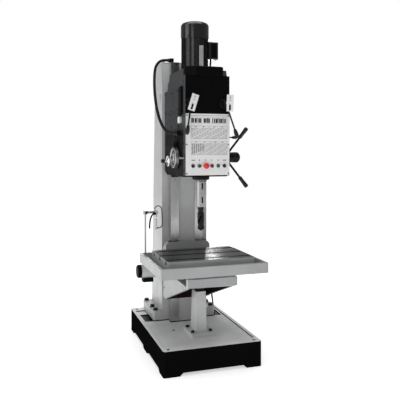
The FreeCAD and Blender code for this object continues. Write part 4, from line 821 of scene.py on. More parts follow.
@dataclass
class Knee:
    """The knee that carries the tray and the slotted table, and its lift drive."""

    hollow_side: float = 0.1565
    hollow_front: float = -0.506
    hollow_back: float = 0.0595
    hollow_top: float = 0.6345
    rim: float = 0.0008
    wiper_front: float = 0.0650
    gib_heights: tuple[float, ...] = (0.44, 0.52, 0.60)
    deck_screws: tuple[float, ...] = (-0.096, -0.032, 0.032, 0.096)

    def build(self) -> None:
        """Dress the castings and add the drive, wipers, strainer and screws."""
        # knee in grey painted darker as shade
        dress(KNEE_GREY_SHADED, "knee_casting")
        # primer tone with painted shade on the faces inside the hollow
        dress_faces("knee_casting", PRIMER_AND_SHADE, self.in_hollow)
        dress(GREY, "knee_keepers")
        # tray in grey painted darker as shade
        dress(TRAY_GREY_SHADED, "coolant_tray")
        dress(TURNED, "lift_screw")
        self.table()
        self.drive()
        self.wipers()
        self.strainer()
        low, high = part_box("knee_casting")
        reach = high.x - 0.0002
        gib = {Way.LEFT: product((-reach,), (0.112,), self.gib_heights),
               Way.RIGHT: product((reach,), (0.112,), self.gib_heights)}
        screw_set("knee_gib_screws", "knee", gib, 0.012, 0.0045)
        deck = product(self.deck_screws, (low.y + 0.0203,), (0.647,))
        screw_set("deck_screws", "knee", {Way.FRONT: deck}, 0.011, 0.0045)

    def in_hollow(self, centre: Vector, normal: Vector) -> bool:
        """Say whether a face of the knee is inside its hollow."""
        within = abs(centre.x) < self.hollow_side and self.hollow_front < centre.y < self.hollow_back
        return within and centre.z < self.hollow_top and normal.z < 0.9

    def table(self) -> None:
        """Grind the table's top, paint its sides and paint shade into its slots."""
        dress(GROUND_ACROSS, "table_plate")
        low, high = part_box("table_plate")

        def outer(centre: Vector, normal: Vector) -> bool:
            """Say whether a face is one of the table's painted sides."""
            ends = centre.x < low.x + self.rim or centre.x > high.x - self.rim
            sides = centre.y < low.y + self.rim or centre.y > high.y - self.rim
            return (ends or sides) and abs(normal.z) < 0.7

        def slot(centre: Vector, normal: Vector) -> bool:
            """Say whether a face is inside a slot."""
            return low.z + 0.02 < centre.z < high.z - 0.004 and not outer(centre, normal)

        # table sides in grey painted darker as shade
        dress_faces("table_plate", TRAY_GREY_SHADED, outer)
        # painted shade inside the table's slots
        dress_faces("table_plate", SLOT_SHADE, slot)

    def drive(self) -> None:
        """Dress the lift drive, put a grille on its motor and screw its gearbox on."""
        dress(GREY, "lift_gearbox")
        dress(SILVER, "lift_motor")
        dress(BLACK, "lift_motor_cap", "lift_terminal_box")
        low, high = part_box("lift_motor_cap")
        y, z = (low.y + high.y) / 2, (low.z + high.z) / 2
        end = (low.x, y, z)
        grille = Blank()
        for turn in around(16, end, "X"):
            grille.slab((0.0, -0.0016, 0.016), (0.0012, 0.0016, 0.037), 0.0004, turn)
        boss = [(0.008, -0.0022), (0.011, -0.0008), (0.0105, -0.0002), (0, -0.0002)]
        grille.turn(boss, Way.LEFT.at(end), 28)
        grille.piece("lift_motor_grille", BLACK_OXIDE, "knee", "dark_steel")
        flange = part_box("lift_gearbox")[0].x + 0.001
        spots = product((flange,), (y - 0.032, y + 0.032), (z - 0.040, z + 0.040))
        screw_set("gearbox_screws", "knee", {Way.LEFT: spots}, 0.010, 0.004)

    def wipers(self) -> None:
        """Put the felt wipers and their steel keepers on top of the knee's slide."""
        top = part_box("knee_casting")[1].z
        way_low, way_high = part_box("guide_strips")
        front = self.wiper_front
        felt, plates, screws = Blank(), Blank(), Blank()
        for side in (-1, 1):
            left, right = sorted((side * (way_high.x - 0.062), side * (way_high.x + 0.026)))
            felt.slab((left, front, top), (right, way_low.y - 0.0004, top + 0.0045), 0.0008)
            plates.slab((left, front, top + 0.0045), (right, way_low.y - 0.0022, top + 0.0062))
            for share in (0.2, 0.8):
                spot = (left + (right - left) * share, front + 0.0095, top + 0.0060)
                socket_screw(screws, spot, Way.UP, 0.008, 0.004)
        felt.piece("knee_wiper_felts", RUBBER_BLACK, "knee", "rubber")
        plates.piece("knee_wiper_plates", TURNED, "knee", "ground_steel")
        screws.piece("knee_wiper_screws", BLACK_OXIDE, "knee", "dark_steel")

    def strainer(self) -> None:
        """Set the drain strainer in the tray's floor."""
        low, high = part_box("coolant_tray")
        x, y, floor = high.x - 0.048, high.y - 0.052, low.z + 0.0141
        rim = [(0.018, 0), (0.0175, 0.0012), (0.0155, 0.0016), (0.0150, 0.0009), (0, 0.0009)]
        strainer = Blank().turn(rim, Way.UP.at((x, y, floor)), 36)
        for i in range(-2, 3):
            bar = y + i * 0.005
            near = (x - 0.011, bar - 0.0009, floor + 0.0008)
            strainer.slab(near, (x + 0.011, bar + 0.0009, floor + 0.0015), 0.0003)
        strainer.piece("tray_strainer", BLACK_OXIDE, "knee", "dark_steel")


@dataclass
class Coolant:
    """The coolant post, its tap and the swinging nozzle."""

    tap_x: float = -0.257
    stem_x: float = -0.243
    y: float = 0.106

    def build(self) -> None:
        """Dress the pipework and add the clamp knob, the stem's nuts and the tap knob's seat."""
        dress(TURNED, "coolant_post", "coolant_tap")
        dress(BLACK, "coolant_nozzle")
        low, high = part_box("coolant_post")
        tap_low, tap_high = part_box("coolant_tap")
        grip = [(0.0035, 0), (0.0035, 0.008), (0.0085, 0.0085), (0.0095, 0.010), (0.0095, 0.016),
                (0.008, 0.018), (0, 0.018)]
        knob = Blank().turn(grip, Way.FRONT.at((low.x + 0.022, high.y - 0.0360, high.z - 0.015)), 20)
        knob.piece("post_clamp_knob", PHENOLIC, "knee", "black_plastic")
        nuts = Blank()
        for z in (tap_low.z + 0.018, tap_low.z + 0.088):
            hexagon = [(0.0065, 0), (0.0076, 0.0006), (0.0076, 0.0064), (0.0065, 0.007)]
            nuts.turn(hexagon, Way.UP.at((self.stem_x, self.y, z)), 6)
        nuts.piece("tap_stem_nuts", BRIGHT, "knee", "bright_steel")
        seat = [(0.0036, 0), (0.0078, 0.001), (0.0078, 0.006), (0.0036, 0.008)]
        lever = Blank().turn(seat, Way.UP.at((self.tap_x, self.y, tap_high.z - 0.0004)), 24)
        lever.piece("tap_knob_seat", BRIGHT, "knee", "bright_steel")


@dataclass
class DrillHead:
    """The gear head: casting, side covers, front housing and hood."""

    side: float = -0.164
    sight: tuple[float, float] = (-0.03, 1.58)
    seam: float = 0.119
    right_rows: tuple[float, ...] = (-0.30, -0.20, -0.05, 0.08)
    right_heights: tuple[float, ...] = (1.70, 1.93)

    def build(self) -> None:
        """Dress the castings and add their screws, wipers and fittings."""
        dress(HEAD_SIDE, "head_casting")
        dress(DARK_GREY, "head_keepers", "front_housing")
        dress(COVER_GREY, "side_covers")
        dress_faces("front_housing", BLACK, lambda centre, normal: normal.y < -0.4 or normal.x > 0.4)
        dress(BLACK, "front_hood")
        dress(BLACK_OXIDE, "head_gland")
        self.cover_screws()
        self.side_fittings()
        self.oil_sight()
        self.wipers()
        self.housing_details()

    def cover_screws(self) -> None:
        """Fix the side covers with screws along their edges."""
        low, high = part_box("side_covers")
        seam = low.z + self.seam
        rows = (low.y + 0.014, (low.y + high.y) / 2, high.y - 0.014)
        heights = (low.z + 0.013, seam - 0.014, seam + 0.016, high.z - 0.013)
        spots = product((low.x + 0.0004,), rows, heights)
        screw_set("side_cover_screws", "head", {Way.LEFT: spots}, 0.011, 0.0035)
        spots = product((-self.side - 0.0004,), self.right_rows, self.right_heights)
        screw_set("right_side_screws", "head", {Way.RIGHT: spots}, 0.012, 0.0045)

    def side_fittings(self) -> None:
        """Add the cam rail and the limit switch with its roller."""
        face = self.side
        rail = Blank().slab((face - 0.0125, -0.352, 1.763), (face + 0.0006, -0.288, 1.962), 0.0016)
        for i in range(9):
            z = 1.776 + i * 0.0216
            rail.slab((face - 0.0138, -0.3525, z), (face - 0.0120, -0.2875, z + 0.0035), 0.0006)
        rail.piece("cam_rail", BLACK, "head", "black_paint")
        switch = Blank().slab((face - 0.0200, -0.322, 1.703), (face + 0.0006, -0.286, 1.748), 0.0025)
        switch.slab((face - 0.0215, -0.318, 1.709), (face - 0.0196, -0.290, 1.742), 0.0008)
        switch.piece("limit_switch", WHITE, "head", "panel_white")
        roller = [(0.0055, 0), (0.0055, 0.010), (0.0075, 0.012), (0.0075, 0.017), (0.006, 0.019),
                  (0, 0.019)]
        stem = Blank().turn(roller, Way.UP.at((face - 0.0100, -0.304, 1.747)), 24)
        stem.piece("limit_switch_roller", BLACK_OXIDE, "head", "dark_steel")

    def oil_sight(self) -> None:
        """Add the oil sight glass with its ring on the right side."""
        place = Way.RIGHT.at((-self.side - 0.0004, *self.sight))
        bezel = [(0.0155, 0), (0.0165, 0.002), (0.0160, 0.0045), (0.0125, 0.006), (0.0118, 0.0035),
                 (0, 0.0035)]
        Blank().turn(bezel, place, 40).piece("oil_sight_ring", BRIGHT, "head", "bright_steel")
        lens = [(0.0116, 0.0030), (0.0116, 0.0042), (0.008, 0.0050), (0, 0.0052)]
        Blank().turn(lens, place, 32).piece("oil_sight_lens", OIL_GLASS, "head", "bright_steel")

    def wipers(self) -> None:
        """Hang the guide wipers under the head."""
        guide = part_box("guide_strips")[0].y
        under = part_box("head_casting")[0].z
        pads, plates = Blank(), Blank()
        for side in (-1, 1):
            near, far = sorted((side * 0.066, side * 0.129))
            pads.slab((near, guide - 0.0195, under - 0.0200),
                      (far, guide - 0.0003, under + 0.0002), 0.001)
            plates.slab((near - 0.001, guide - 0.0220, under - 0.0180),
                        (far + 0.001, guide - 0.0194, under + 0.0002), 0.0006)
            for share in (0.25, 0.75):
                spot = (near + (far - near) * share, guide - 0.0216, under - 0.0095)
                socket_screw(plates, spot, Way.FRONT, 0.008, 0.0035)
        pads.piece("head_wiper_pads", RUBBER_BLACK, "head", "rubber")
        plates.piece("head_wiper_plates", BLACK_OXIDE, "head", "dark_steel")

    def housing_details(self) -> None:
        """Add the housing's screws and the gasket behind it."""
        low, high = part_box("front_housing")
        row = (high.y - 0.011,)
        heights = [low.z + rise for rise in (0.04, 0.23, 0.45, 0.66)]
        spots = {Way.LEFT: product((low.x + 0.0003,), row, heights),
                 Way.RIGHT: product((high.x - 0.0003,), row, heights)}
        screw_set("housing_screws", "head", spots, 0.009, 0.0035)
        gasket = Blank()
        for left, right in ((low.x - 0.0004, low.x + 0.004), (high.x - 0.004, high.x + 0.0004)):
            near = (left, high.y - 0.0008, low.z + 0.006)
            gasket.slab(near, (right, high.y + 0.0008, high.z - 0.004), 0.0003)
        gasket.piece("housing_gasket", RUBBER_BLACK, "head", "rubber")


@dataclass
class Panel:
    """The white control panel with its printed tables, button rings and controls."""

    face: float = 0.0
    rule: float = 0.0003
    chart_head: float = 0.012
    title: Patch = (-0.123, 0.135, 1.699, 1.739)
    title_bars: tuple[int, ...] = (7, 5, 7, 4, 7, 6, 0, 7, 6, 7, 5, 0, 4, 6, 7, 5, 7, 6, 5, 7)
    charts: tuple[Patch, ...] = (
        (-0.123, 0.008, 1.590, 1.680), (0.013, 0.146, 1.590, 1.680),
        (-0.123, 0.018, 1.478, 1.573), (0.023, 0.146, 1.478, 1.573),
    )
    grids: tuple[tuple[int, int], ...] = ((7, 8), (7, 8), (9, 9), (9, 9))

    def build(self) -> None:
        """Dress the panel and print its bars, tables and marks."""
        dress(WHITE, "control_panel")
        dress(BLACK_OXIDE, "panel_screws")
        dress(BRIGHT, "button_bezels")
        self.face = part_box("control_panel")[0].y
        self.title_bar()
        self.tables()
        self.marks()
        self.knobs()
        self.buttons()

    def ink(self, blank: Blank, left: float, right: float, low: float, high: float) -> None:
        """Lay one printed patch on the panel's face."""
        blank.slab((left, self.face - 0.00022, low), (right, self.face + 0.0001, high), 0.0)

    def frame(self, blank: Blank, box: Patch, line: float) -> None:
        """Lay a printed outline on the panel's face."""
        left, right, low, high = box
        self.ink(blank, left, right, high - line, high)
        self.ink(blank, left, right, low, low + line)
        self.ink(blank, left, left + line, low + line, high - line)
        self.ink(blank, right - line, right, low + line, high - line)

    def title_bar(self) -> None:
        """Print a row of plain upright bars where a heading would be."""
        left, right, low, high = self.title
        bars = Blank()
        pitch = (right - left) / len(self.title_bars)
        for i, wide in enumerate(self.title_bars):
            if wide:
                start = left + pitch * i + 0.0014
                drop = 0.006 if i % 3 else 0.003
                self.ink(bars, start, start + wide * 0.00158, low + 0.003, high - drop)
        bars.piece("heading_bars", INK, "head", "panel_white")
        rule = Blank()
        self.ink(rule, -0.150, 0.150, 1.7515, 1.7535)
        self.frame(rule, (left - 0.006, right + 0.006, low - 0.001, high + 0.003), 0.0010)
        rule.piece("heading_rules", PALE_INK, "head", "panel_white")

    def tables(self) -> None:
        """Print the four speed, feed and tapping charts as plain grids."""
        lines, fills = Blank(), Blank()
        for number, (box, (columns, rows)) in enumerate(zip(self.charts, self.grids)):
            left, right, low, high = box
            wide, top = right - left, high - self.chart_head
            self.frame(lines, box, 0.0012)
            for i in range(1, columns):
                x = left + wide * i / columns
                self.ink(lines, x - self.rule, x + self.rule, low + 0.001, top)
            for i in range(1, rows):
                z = low + (top - low) * i / rows
                self.ink(lines, left + 0.001, right - 0.001, z - self.rule, z + self.rule)
            for i, j in product(range(columns), range(rows)):
                if (i * 5 + j * 3 + number) % 4:
                    x = left + wide * (i + 0.24) / columns
                    z = low + (top - low) * (j + 0.32) / rows
                    self.ink(fills, x, x + wide / columns * 0.5, z, z + 0.0028)
            for share in (0.26, 0.70):
                x = left + wide * share
                self.ink(fills, x - 0.008, x + 0.008, high - 0.0085, high - 0.0045)
        left, _, low, high = self.charts[2]
        for i in range(7):
            x = left + 0.010 + i * 0.0135
            self.ink(fills, x, x + 0.0042, low + 0.010 + i * 0.0028, high - 0.018)
        lines.piece("chart_lines", CHART_INK, "head", "panel_white")
        fills.piece("chart_entries", PALE_INK, "head", "panel_white")

    def marks(self) -> None:
        """Print the small marks above the controls."""
        marks, red = Blank(), Blank()
        for i in range(6):
            x = -0.109 + i * 0.0465
            if i in (2, 3):
                less = i * 0.0004
                place = Way.FRONT.at((x, self.face + 0.0001, 1.441))
                red.turn([(0.0052 - less, 0), (0.0050 - less, 0.0003), (0, 0.0003)], place, 20)
            elif i in (1, 4):
                self.ink(marks, x - 0.005, x + 0.005, 1.4370, 1.4400)
                self.ink(marks, x - 0.0018, x + 0.0018, 1.4400, 1.4460)
            else:
                for step in (-0.010, -0.001, 0.008):
                    self.ink(marks, x + step, x + step + 0.0065, 1.4370, 1.4430)
        marks.piece("control_marks", INK, "head", "panel_white")
        red.piece("control_marks_red", RED, "head", "red_plastic")

    def knobs(self) -> None:
        """Dress the selectors and their pointer lines, and shroud the stop button."""
        dress(RED, "emergency_stop")
        for name in ("selector_left", "selector_right"):
            dress(PHENOLIC, name)
            low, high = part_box(name)
            x = (low.x + high.x) / 2
            near = (x - 0.0008, low.y - 0.0002, high.z - 0.010)
            line = Blank().slab(near, (x + 0.0008, low.y + 0.0002, high.z - 0.0015), 0.0001)
            line.piece(name + "_line", WHITE, name, "panel_white")
        low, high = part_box("emergency_stop")
        place = Way.FRONT.at(((low.x + high.x) / 2, self.face - 0.0038, (low.z + high.z) / 2))
        collar = [(0.0165, 0), (0.0185, 0.001), (0.0185, 0.0045), (0.0165, 0.006), (0.0118, 0.006)]
        Blank().turn(collar, place, 40).piece("stop_shroud", SHROUD_RED, "head", "panel_white")

    def buttons(self) -> None:
        """Dress the flush buttons and dish their caps."""
        dish = [(0.0088, -0.0002), (0.0088, 0.0004), (0.0080, 0.0009), (0.0066, 0.0006), (0, 0.0001)]
        for name, finish, slot in (("start_button", GREEN, "green_plastic"),
                                   ("stop_button", DARK_RED, "dark_red_plastic"),
                                   ("tapping_button", GREEN, "green_plastic")):
            dress(finish, name)
            low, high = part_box(name)
            place = Way.FRONT.at(((low.x + high.x) / 2, low.y + 0.0004, (low.z + high.z) / 2))
            Blank().turn(dish, place, 32).piece(name + "_cap", finish, name, slot)


@dataclass
class MainMotor:
    """The flange motor with its fan cover, terminal box and rating plate."""

    x: float = 0.0
    y: float = -0.115
    fins: float = 0.1035
    slots: int = 28

    def build(self) -> None:
        """Dress the motor and add its plate, lid, slots and bolts."""
        dress(MOTOR_BLACK, "main_motor", "motor_fan_cover", "motor_terminal_box")
        dress(TURNED, "motor_rotor")
        self.rating_plate()
        self.lid()
        self.fan_cover()
        self.flange_bolts()

    def rating_plate(self) -> None:
        """Fix the bright rating strip to the front of the fins."""
        front = self.y - self.fins
        plate = Blank().slab((0.001, front - 0.0020, 2.122), (0.033, front, 2.282), 0.0006)
        rivet = [(0.0032, 0), (0.0032, 0.0008), (0.0018, 0.0014), (0, 0.0015)]
        for z in (2.132, 2.272):
            plate.turn(rivet, Way.FRONT.at((0.017, front - 0.0018, z)), 18)
        plate.piece("rating_strip", PALE_TAG, "head", "bright_steel")
        feet = Blank()
        for z in (2.150, 2.254):
            feet.slab((0.004, front - 0.0004, z - 0.006), (0.030, front + 0.006, z + 0.006), 0.0006)
        feet.piece("rating_strip_feet", BLACK, "head", "black_paint")

    def lid(self) -> None:
        """Screw a ribbed lid on the terminal box."""
        low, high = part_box("motor_terminal_box")
        inset, corner = 0.006, 0.013
        lid = Blank().slab((high.x - 0.0050, low.y + inset, low.z + inset),
                           (high.x + 0.0018, high.y - inset, high.z - inset), 0.0022)
        for y in (low.y + corner, high.y - corner):
            for z in (low.z + corner, high.z - corner):
                socket_screw(lid, (high.x + 0.0014, y, z), Way.RIGHT, 0.008, 0.003)
        lid.piece("terminal_box_lid", BLACK, "head", "black_paint")
        rib = Blank().slab((low.x + 0.020, low.y - 0.0012, low.z + 0.012),
                           (high.x - 0.012, low.y + 0.0004, high.z - 0.012), 0.001)
        rib.piece("terminal_box_rib", BLACK, "head", "black_paint")

    def fan_cover(self) -> None:
        """Add the air slots and screws round the fan cover."""
        low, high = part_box("motor_fan_cover")
        radius = (high.x - low.x) / 2
        slots = Blank()
        for turn in around(self.slots, (self.x, self.y, 0), "Z"):
            near = (radius - 0.0012, -0.0022, high.z - 0.052)
            slots.slab(near, (radius + 0.0003, 0.0022, high.z - 0.034), 0.0004, turn)
        slots.piece("fan_cover_slots", RUBBER_BLACK, "head", "black_paint")
        pan = [(0.0045, 0), (0.0050, 0.0006), (0.0050, 0.0028), (0.0040, 0.0036), (0, 0.0036)]
        outward = Matrix.Translation((radius - 0.0005, 0, 0)) @ Matrix.Rotation(math.radians(90), 4, "Y")
        screws = Blank()
        for turn in around(4, (self.x, self.y, low.z + 0.012), "Z", 0.5):
            screws.turn(pan, turn @ outward, 20)
        screws.piece("fan_cover_screws", BLACK_OXIDE, "head", "dark_steel")

    def flange_bolts(self) -> None:
        """Bolt the motor's flange to the head."""
        low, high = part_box("main_motor")
        reach = (high.x - low.x) / 2 - 0.0125
        bolts = Blank()
        for i in range(6):
            angle = math.tau * i / 6 + 0.26
            spot = (self.x + reach * math.cos(angle), self.y + reach * math.sin(angle), low.z + 0.0150)
            hex_bolt(bolts, spot, Way.UP, 0.013, 0.009)
        bolts.piece("motor_flange_bolts", BLACK_OXIDE, "head", "dark_steel")


@dataclass
class SpindleLine:
    """The quill, the spindle and the twist drill in it."""

    y: float = -0.260
    turns: float = 0.56
    point: float = 0.0145
    stations: int = 110
    sides: int = 64
    land: float = 0.60
    margin: float = 0.93
    screw_ring: float = 0.053

    def build(self) -> None:
        """Dress the quill line and grind the drill's flutes."""
        dress(BLACK_OXIDE, "quill_collar")
        dress(TURNED, "quill", "spindle")
        # painted shade inside the spindle's drift slots
        dress_faces("spindle", SLOT_SHADE, self.in_slot)
        self.drill()
        self.collar()

    def in_slot(self, centre: Vector, normal: Vector) -> bool:
        """Say whether a face is inside one of the spindle's drift slots."""
        off_axis = math.hypot(centre.x, centre.y - self.y)
        return off_axis < 0.0345 and 1.10 < centre.z < 1.28 and abs(normal.x) + abs(normal.z) > 0.9

    def flute(self, angle: float, fade: float) -> float:
        """Return the share of the drill's radius that is left at an angle, as the flutes fade in."""
        side = abs(math.cos(angle))
        share = 1.0 if side > self.land else 0.30 + 0.70 * (side / self.land) ** 0.8
        if self.land < side < self.margin:
            share = 0.965
        return 1.0 - (1.0 - share) * fade

    def drill(self) -> None:
        """Loft the fluted drill with its point, neck and taper shank."""
        low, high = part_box("twist_drill")
        radius = (high.x - low.x) / 2
        top = high.z - 0.052
        rings = []
        for n in range(self.stations + 1):
            z = low.z + (top + 0.012 - low.z) * n / self.stations
            grown = min(1.0, (z - low.z) / self.point + 0.02)
            fade = min(1.0, max(0.0, (top - z) / 0.020))
            spin = math.tau * self.turns * (z - low.z) / (top - low.z)
            ring = []
            for k in range(self.sides):
                angle = math.tau * k / self.sides
                across = radius * self.flute(angle, fade) * grown
                x, y = across * math.cos(angle + spin), across * math.sin(angle + spin)
                ring.append(Vector((x, self.y + y, z)))
            rings.append(ring)
        neck = radius - 0.006
        shank = [(radius, top + 0.0118), (radius - 0.0010, top + 0.0135), (neck, top + 0.0155),
                 (neck, high.z - 0.031), (0.0200, high.z - 0.029), (0.0238, high.z - 0.0005),
                 (0, high.z - 0.0005)]
        body = Blank().loft(rings).turn(shank, Way.UP.at((0, self.y, 0)), self.sides)
        made = body.piece("fluted_drill", TOOL_STEEL, "spindle", "dark_steel", 40)
        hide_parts("twist_drill")

    def collar(self) -> None:
        """Fix the quill's collar with six screws and seal the spindle's nose."""
        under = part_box("quill_collar")[0].z + 0.0006
        angles = [math.tau * (i + 0.5) / 6 for i in range(6)]
        ring = self.screw_ring
        spots = [(ring * math.cos(angle), self.y + ring * math.sin(angle), under) for angle in angles]
        screw_set("collar_screws", "head", {Way.DOWN: spots}, 0.008, 0.003, bright=True)
        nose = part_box("quill")[0].z - 0.0054
        lip = [(0.0372, 0), (0.0430, 0.0008), (0.0430, 0.0045), (0.0372, 0.0052)]
        seal = Blank().turn(lip, Way.UP.at((0, self.y, nose)), 56)
        seal.piece("spindle_seal", BLACK_OXIDE, "quill", "dark_steel")


@dataclass
class GearLevers:
    """The two gear levers with their index plates."""

    z: float = 1.840
    face: float = -0.482
    knob: Profile = ((0.0078, 0.0662), (0.0104, 0.064), (0.0120, 0.056), (0.0142, 0.042),
                     (0.0149, 0.026), (0.0140, 0.012), (0.0108, 0.0035), (0.0053, 0.0002), (0, 0))
    hub: Profile = ((0.0082, -0.021), (0.0175, -0.021), (0.019, -0.0195), (0.019, 0.0045),
                    (0.0165, 0.0075), (0.0082, 0.0085))

    def build(self) -> None:
        """Dress the plates and build both levers."""
        dress(BLACK_OXIDE, "gear_index_plates")
        dress_faces("gear_index_plates", WHITE, lambda centre, normal: centre.y < self.face + 0.0035)
        self.lever("gear_lever_left", -0.134, -8, 0.226)
        self.plate_print("gear_lever_left", -0.134, 17, -0.017)
        self.lever("gear_lever_right", 0.120, 20, 0.260)
        self.plate_print("gear_lever_right", 0.120, 2, -0.003)

    def lever(self, name: str, x: float, lean: float, long: float) -> None:
        """Build one lever: a bossed hub, a tapered rod and an oval knob.

        Args:
            name: The lever's body and CAD node.
            x: Where its stud is.
            lean: How far its rod leans from straight down, in degrees.
            long: The length from its stud to the end of its knob.
        """
        y = self.face + 0.018
        hub = Blank().turn(self.hub, Way.FRONT.at((x, y + 0.0007, self.z)))
        place = Matrix.Translation((x, y + 0.008, self.z)) @ Matrix.Rotation(math.radians(-lean), 4, "Y")
        place = place @ Matrix.Rotation(math.pi, 4, "X")
        end = long - 0.064
        rod = [(0.0078, 0.014), (0.0078, 0.026), (0.0062, 0.030), (0.0058, end), (0, end)]
        made = hub.turn(rod, place, 24).piece(name + "_rod", BLACK_OXIDE, name, "dark_steel")
        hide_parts(name)
        knob = Blank().turn([(radius, long - back) for radius, back in self.knob], place, 36)
        knob.piece(name + "_knob", PHENOLIC, name, "black_plastic", 50)

    def plate_print(self, name: str, x: float, tilt: float, shift: float) -> None:
        """Print a plate's position slot and screw it to its stud.

        Args:
            name: The lever that the plate serves.
            x: Where its stud is.
            tilt: How far the plate is turned, in degrees.
            shift: How far the plate's middle is from the stud.
        """
        place = Matrix.Translation((x, self.face, self.z)) @ Matrix.Rotation(math.radians(tilt), 4, "Y")
        middle = shift + 0.025

        def patch(blank: Blank, left: float, right: float, low: float, high: float) -> None:
            """Lay one printed patch on the plate, measured from its middle."""
            blank.slab((middle + left, -0.0003, low), (middle + right, 0.0002, high), 0.0, place)

        ink = Blank()
        patch(ink, -0.0075, 0.0060, -0.050, -0.011)
        patch(ink, -0.011, -0.006, -0.007, -0.003)
        ink.piece(name + "_slot_print", INK, "head", "panel_white")
        marks = Blank()
        for i, half in enumerate((0.008, 0.005, 0.0065)):
            z = 0.040 - i * 0.011
            patch(marks, -half, half, z, z + 0.0035)
        marks.piece(name + "_marks", PALE_INK, "head", "panel_white")
        spots = [tuple(place @ Vector((middle, 0.0002, z))) for z in (-0.052, 0.052)]
        screw_set(name + "_plate_screws", "head", {Way.FRONT: spots}, 0.006, 0.002, bright=True)


@dataclass
class FeedControls:
    """The capstan, the depth dial, the engage lever and the fine feed wheel."""

    y: float = -0.210
    z: float = 1.457
    lean: float = 27.0
    start: float = 0.204
    reach: float = 0.250
    grip_long: float = 0.092
    grip: Profile = ((0.0084, -0.001), (0.0124, 0.0005), (0.0144, 0.004), (0.0132, 0.020),
                     (0.0138, 0.045), (0.0154, 0.070), (0.0159, 0.080), (0.0146, 0.088),
                     (0.0105, 0.0915), (0.0042, 0.0919), (0.0038, 0.0905), (0, 0.0905))
    arms: tuple[int, ...] = (0, 120, 240)
    clamps: tuple[int, ...] = (50, 170, 290)
    dial_rim: float = 0.0725
    trip_x: float = -0.1745

    @property
    def axis(self) -> Point:
        """Return where the controls' shaft crosses the machine's middle plane."""
        return (0, self.y, self.z)

    def build(self) -> None:
        """Dress and detail each feed control."""
        dress(BLACK_OXIDE, "capstan", "dial_flange", "engage_lever")
        dress(TURNED, "capstan_flange")
        dress(SATIN, "depth_dial")
        dress_faces("engage_lever", PHENOLIC, lambda centre, normal: centre.x > 0.211)
        dress(BRIGHT, "fine_feed_wheel")
        dress_faces("fine_feed_wheel", PHENOLIC, lambda centre, normal: centre.x < -0.2215)
        self.grips()
        self.hub_cap()
        self.dial()
        self.dial_face()
        self.trip()
        self.stop_rod()

    def grips(self) -> None:
        """Turn the three waisted grips on the capstan's arms."""
        low = self.reach / math.cos(math.radians(self.lean)) - self.grip_long
        profile = [(radius, low + height) for radius, height in self.grip]
        lean = Matrix.Rotation(math.radians(-self.lean), 4, "Z")
        swing = lean @ Matrix.Rotation(math.radians(-90), 4, "X")
        hub = Matrix.Translation((self.start, self.y, self.z))
        grips = Blank()
        for angle in self.arms:
            grips.turn(profile, hub @ Matrix.Rotation(math.radians(angle), 4, "X") @ swing, 32)
        made = grips.piece("waisted_grips", PHENOLIC, "capstan", "black_plastic", 50)
        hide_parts("capstan_grips")

    def hub_cap(self) -> None:
        """Ring the capstan's hub with a knurled band and a bright cap."""
        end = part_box("capstan")[1].x
        band = Blank()
        for turn in around(60, self.axis, "X"):
            band.slab((end - 0.050, -0.0011, 0.0374), (end - 0.018, 0.0011, 0.0390), 0.0005, turn)
        band.piece("hub_knurl", BLACK_OXIDE, "capstan", "dark_steel")
        disc = [(0.0210, end - 0.0006), (0.0225, end - 0.0002), (0.0195, end), (0, end)]
        Blank().turn(disc, Way.RIGHT.at(self.axis)).piece("hub_cap", TURNED, "capstan", "ground_steel")

    def dial(self) -> None:
        """Cut the dial's graduations."""
        ticks = Blank()
        for i, turn in enumerate(around(100, self.axis, "X")):
            long = 0.0085 if i % 10 == 0 else 0.0060 if i % 5 == 0 else 0.0038
            near = (-0.20022, -0.00035, self.dial_rim - long)
            ticks.slab(near, (-0.1999, 0.00035, self.dial_rim), 0.0, turn)
        for turn in around(10, self.axis, "X", 0.5):
            ticks.slab((-0.19522, -0.0022, 0.040), (-0.1949, 0.0022, 0.0425), 0.0, turn)
        ticks.piece("dial_graduations", INK, "depth_dial", "dark_steel")

    def dial_face(self) -> None:
        """Fit the dial's inner band, its centre knob and its clamp screws."""
        place = Way.LEFT.at(self.axis)
        band = [(0.0525, 0.1948), (0.0525, 0.1953), (0.0440, 0.1956), (0.0440, 0.1948)]
        Blank().turn(band, place, 64).piece("dial_band", BLACK_OXIDE, "depth_dial", "dark_steel")
        knob = [(0.0160, 0.2036), (0.0165, 0.2052), (0.0150, 0.2066), (0.0090, 0.2070),
                (0.0075, 0.2056), (0, 0.2056)]
        Blank().turn(knob, place).piece("dial_knob", BLACK_OXIDE, "depth_dial", "dark_steel")
        clamp = [(0.0052, 0), (0.0056, 0.0006), (0.0056, 0.0024), (0.0046, 0.0032), (0.0025, 0.0032),
                 (0.0022, 0.0018), (0, 0.0018)]
        out = Matrix.Translation((0.035, 0, 0.1947))
        clamps = Blank()
        for angle in self.clamps:
            clamps.turn(clamp, place @ Matrix.Rotation(math.radians(angle), 4, "Z") @ out, 20)
        clamps.piece("dial_clamp_screws", BLACK_OXIDE, "depth_dial", "dark_steel")

    def trip(self) -> None:
        """Add the trip lever above the dial, with its spring arm."""
        x, y, z = self.trip_x, self.y, self.z
        top = Vector((x, y + 0.006, z + 0.160))
        low = Vector((x, y - 0.004, z + 0.094))
        lever = Blank().tube([low, low.lerp(top, 0.5), top], 0.0042, sides=16)
        boss = [(0.009, -0.0105), (0.010, -0.009), (0.010, 0.006), (0.009, 0.0075), (0, 0.0075)]
        lever.turn(boss, Way.LEFT.at((x, y, z + 0.098)), 28)
        ball = [(0.0040, 0), (0.0065, 0.003), (0.0075, 0.010), (0.0060, 0.017), (0, 0.019)]
        lever.turn(ball, Way.UP.at(tuple(top)), 24)
        lever.piece("trip_lever", BLACK_OXIDE, "head", "dark_steel")
        bends = [Vector((x, y - 0.004, z + 0.098)), Vector((x, y - 0.020, z + 0.118)),
                 Vector((x, y - 0.044, z + 0.150))]
        Blank().tube(bends, 0.0034, sides=16).piece("trip_spring_arm", BLACK_OXIDE, "head", "dark_steel")

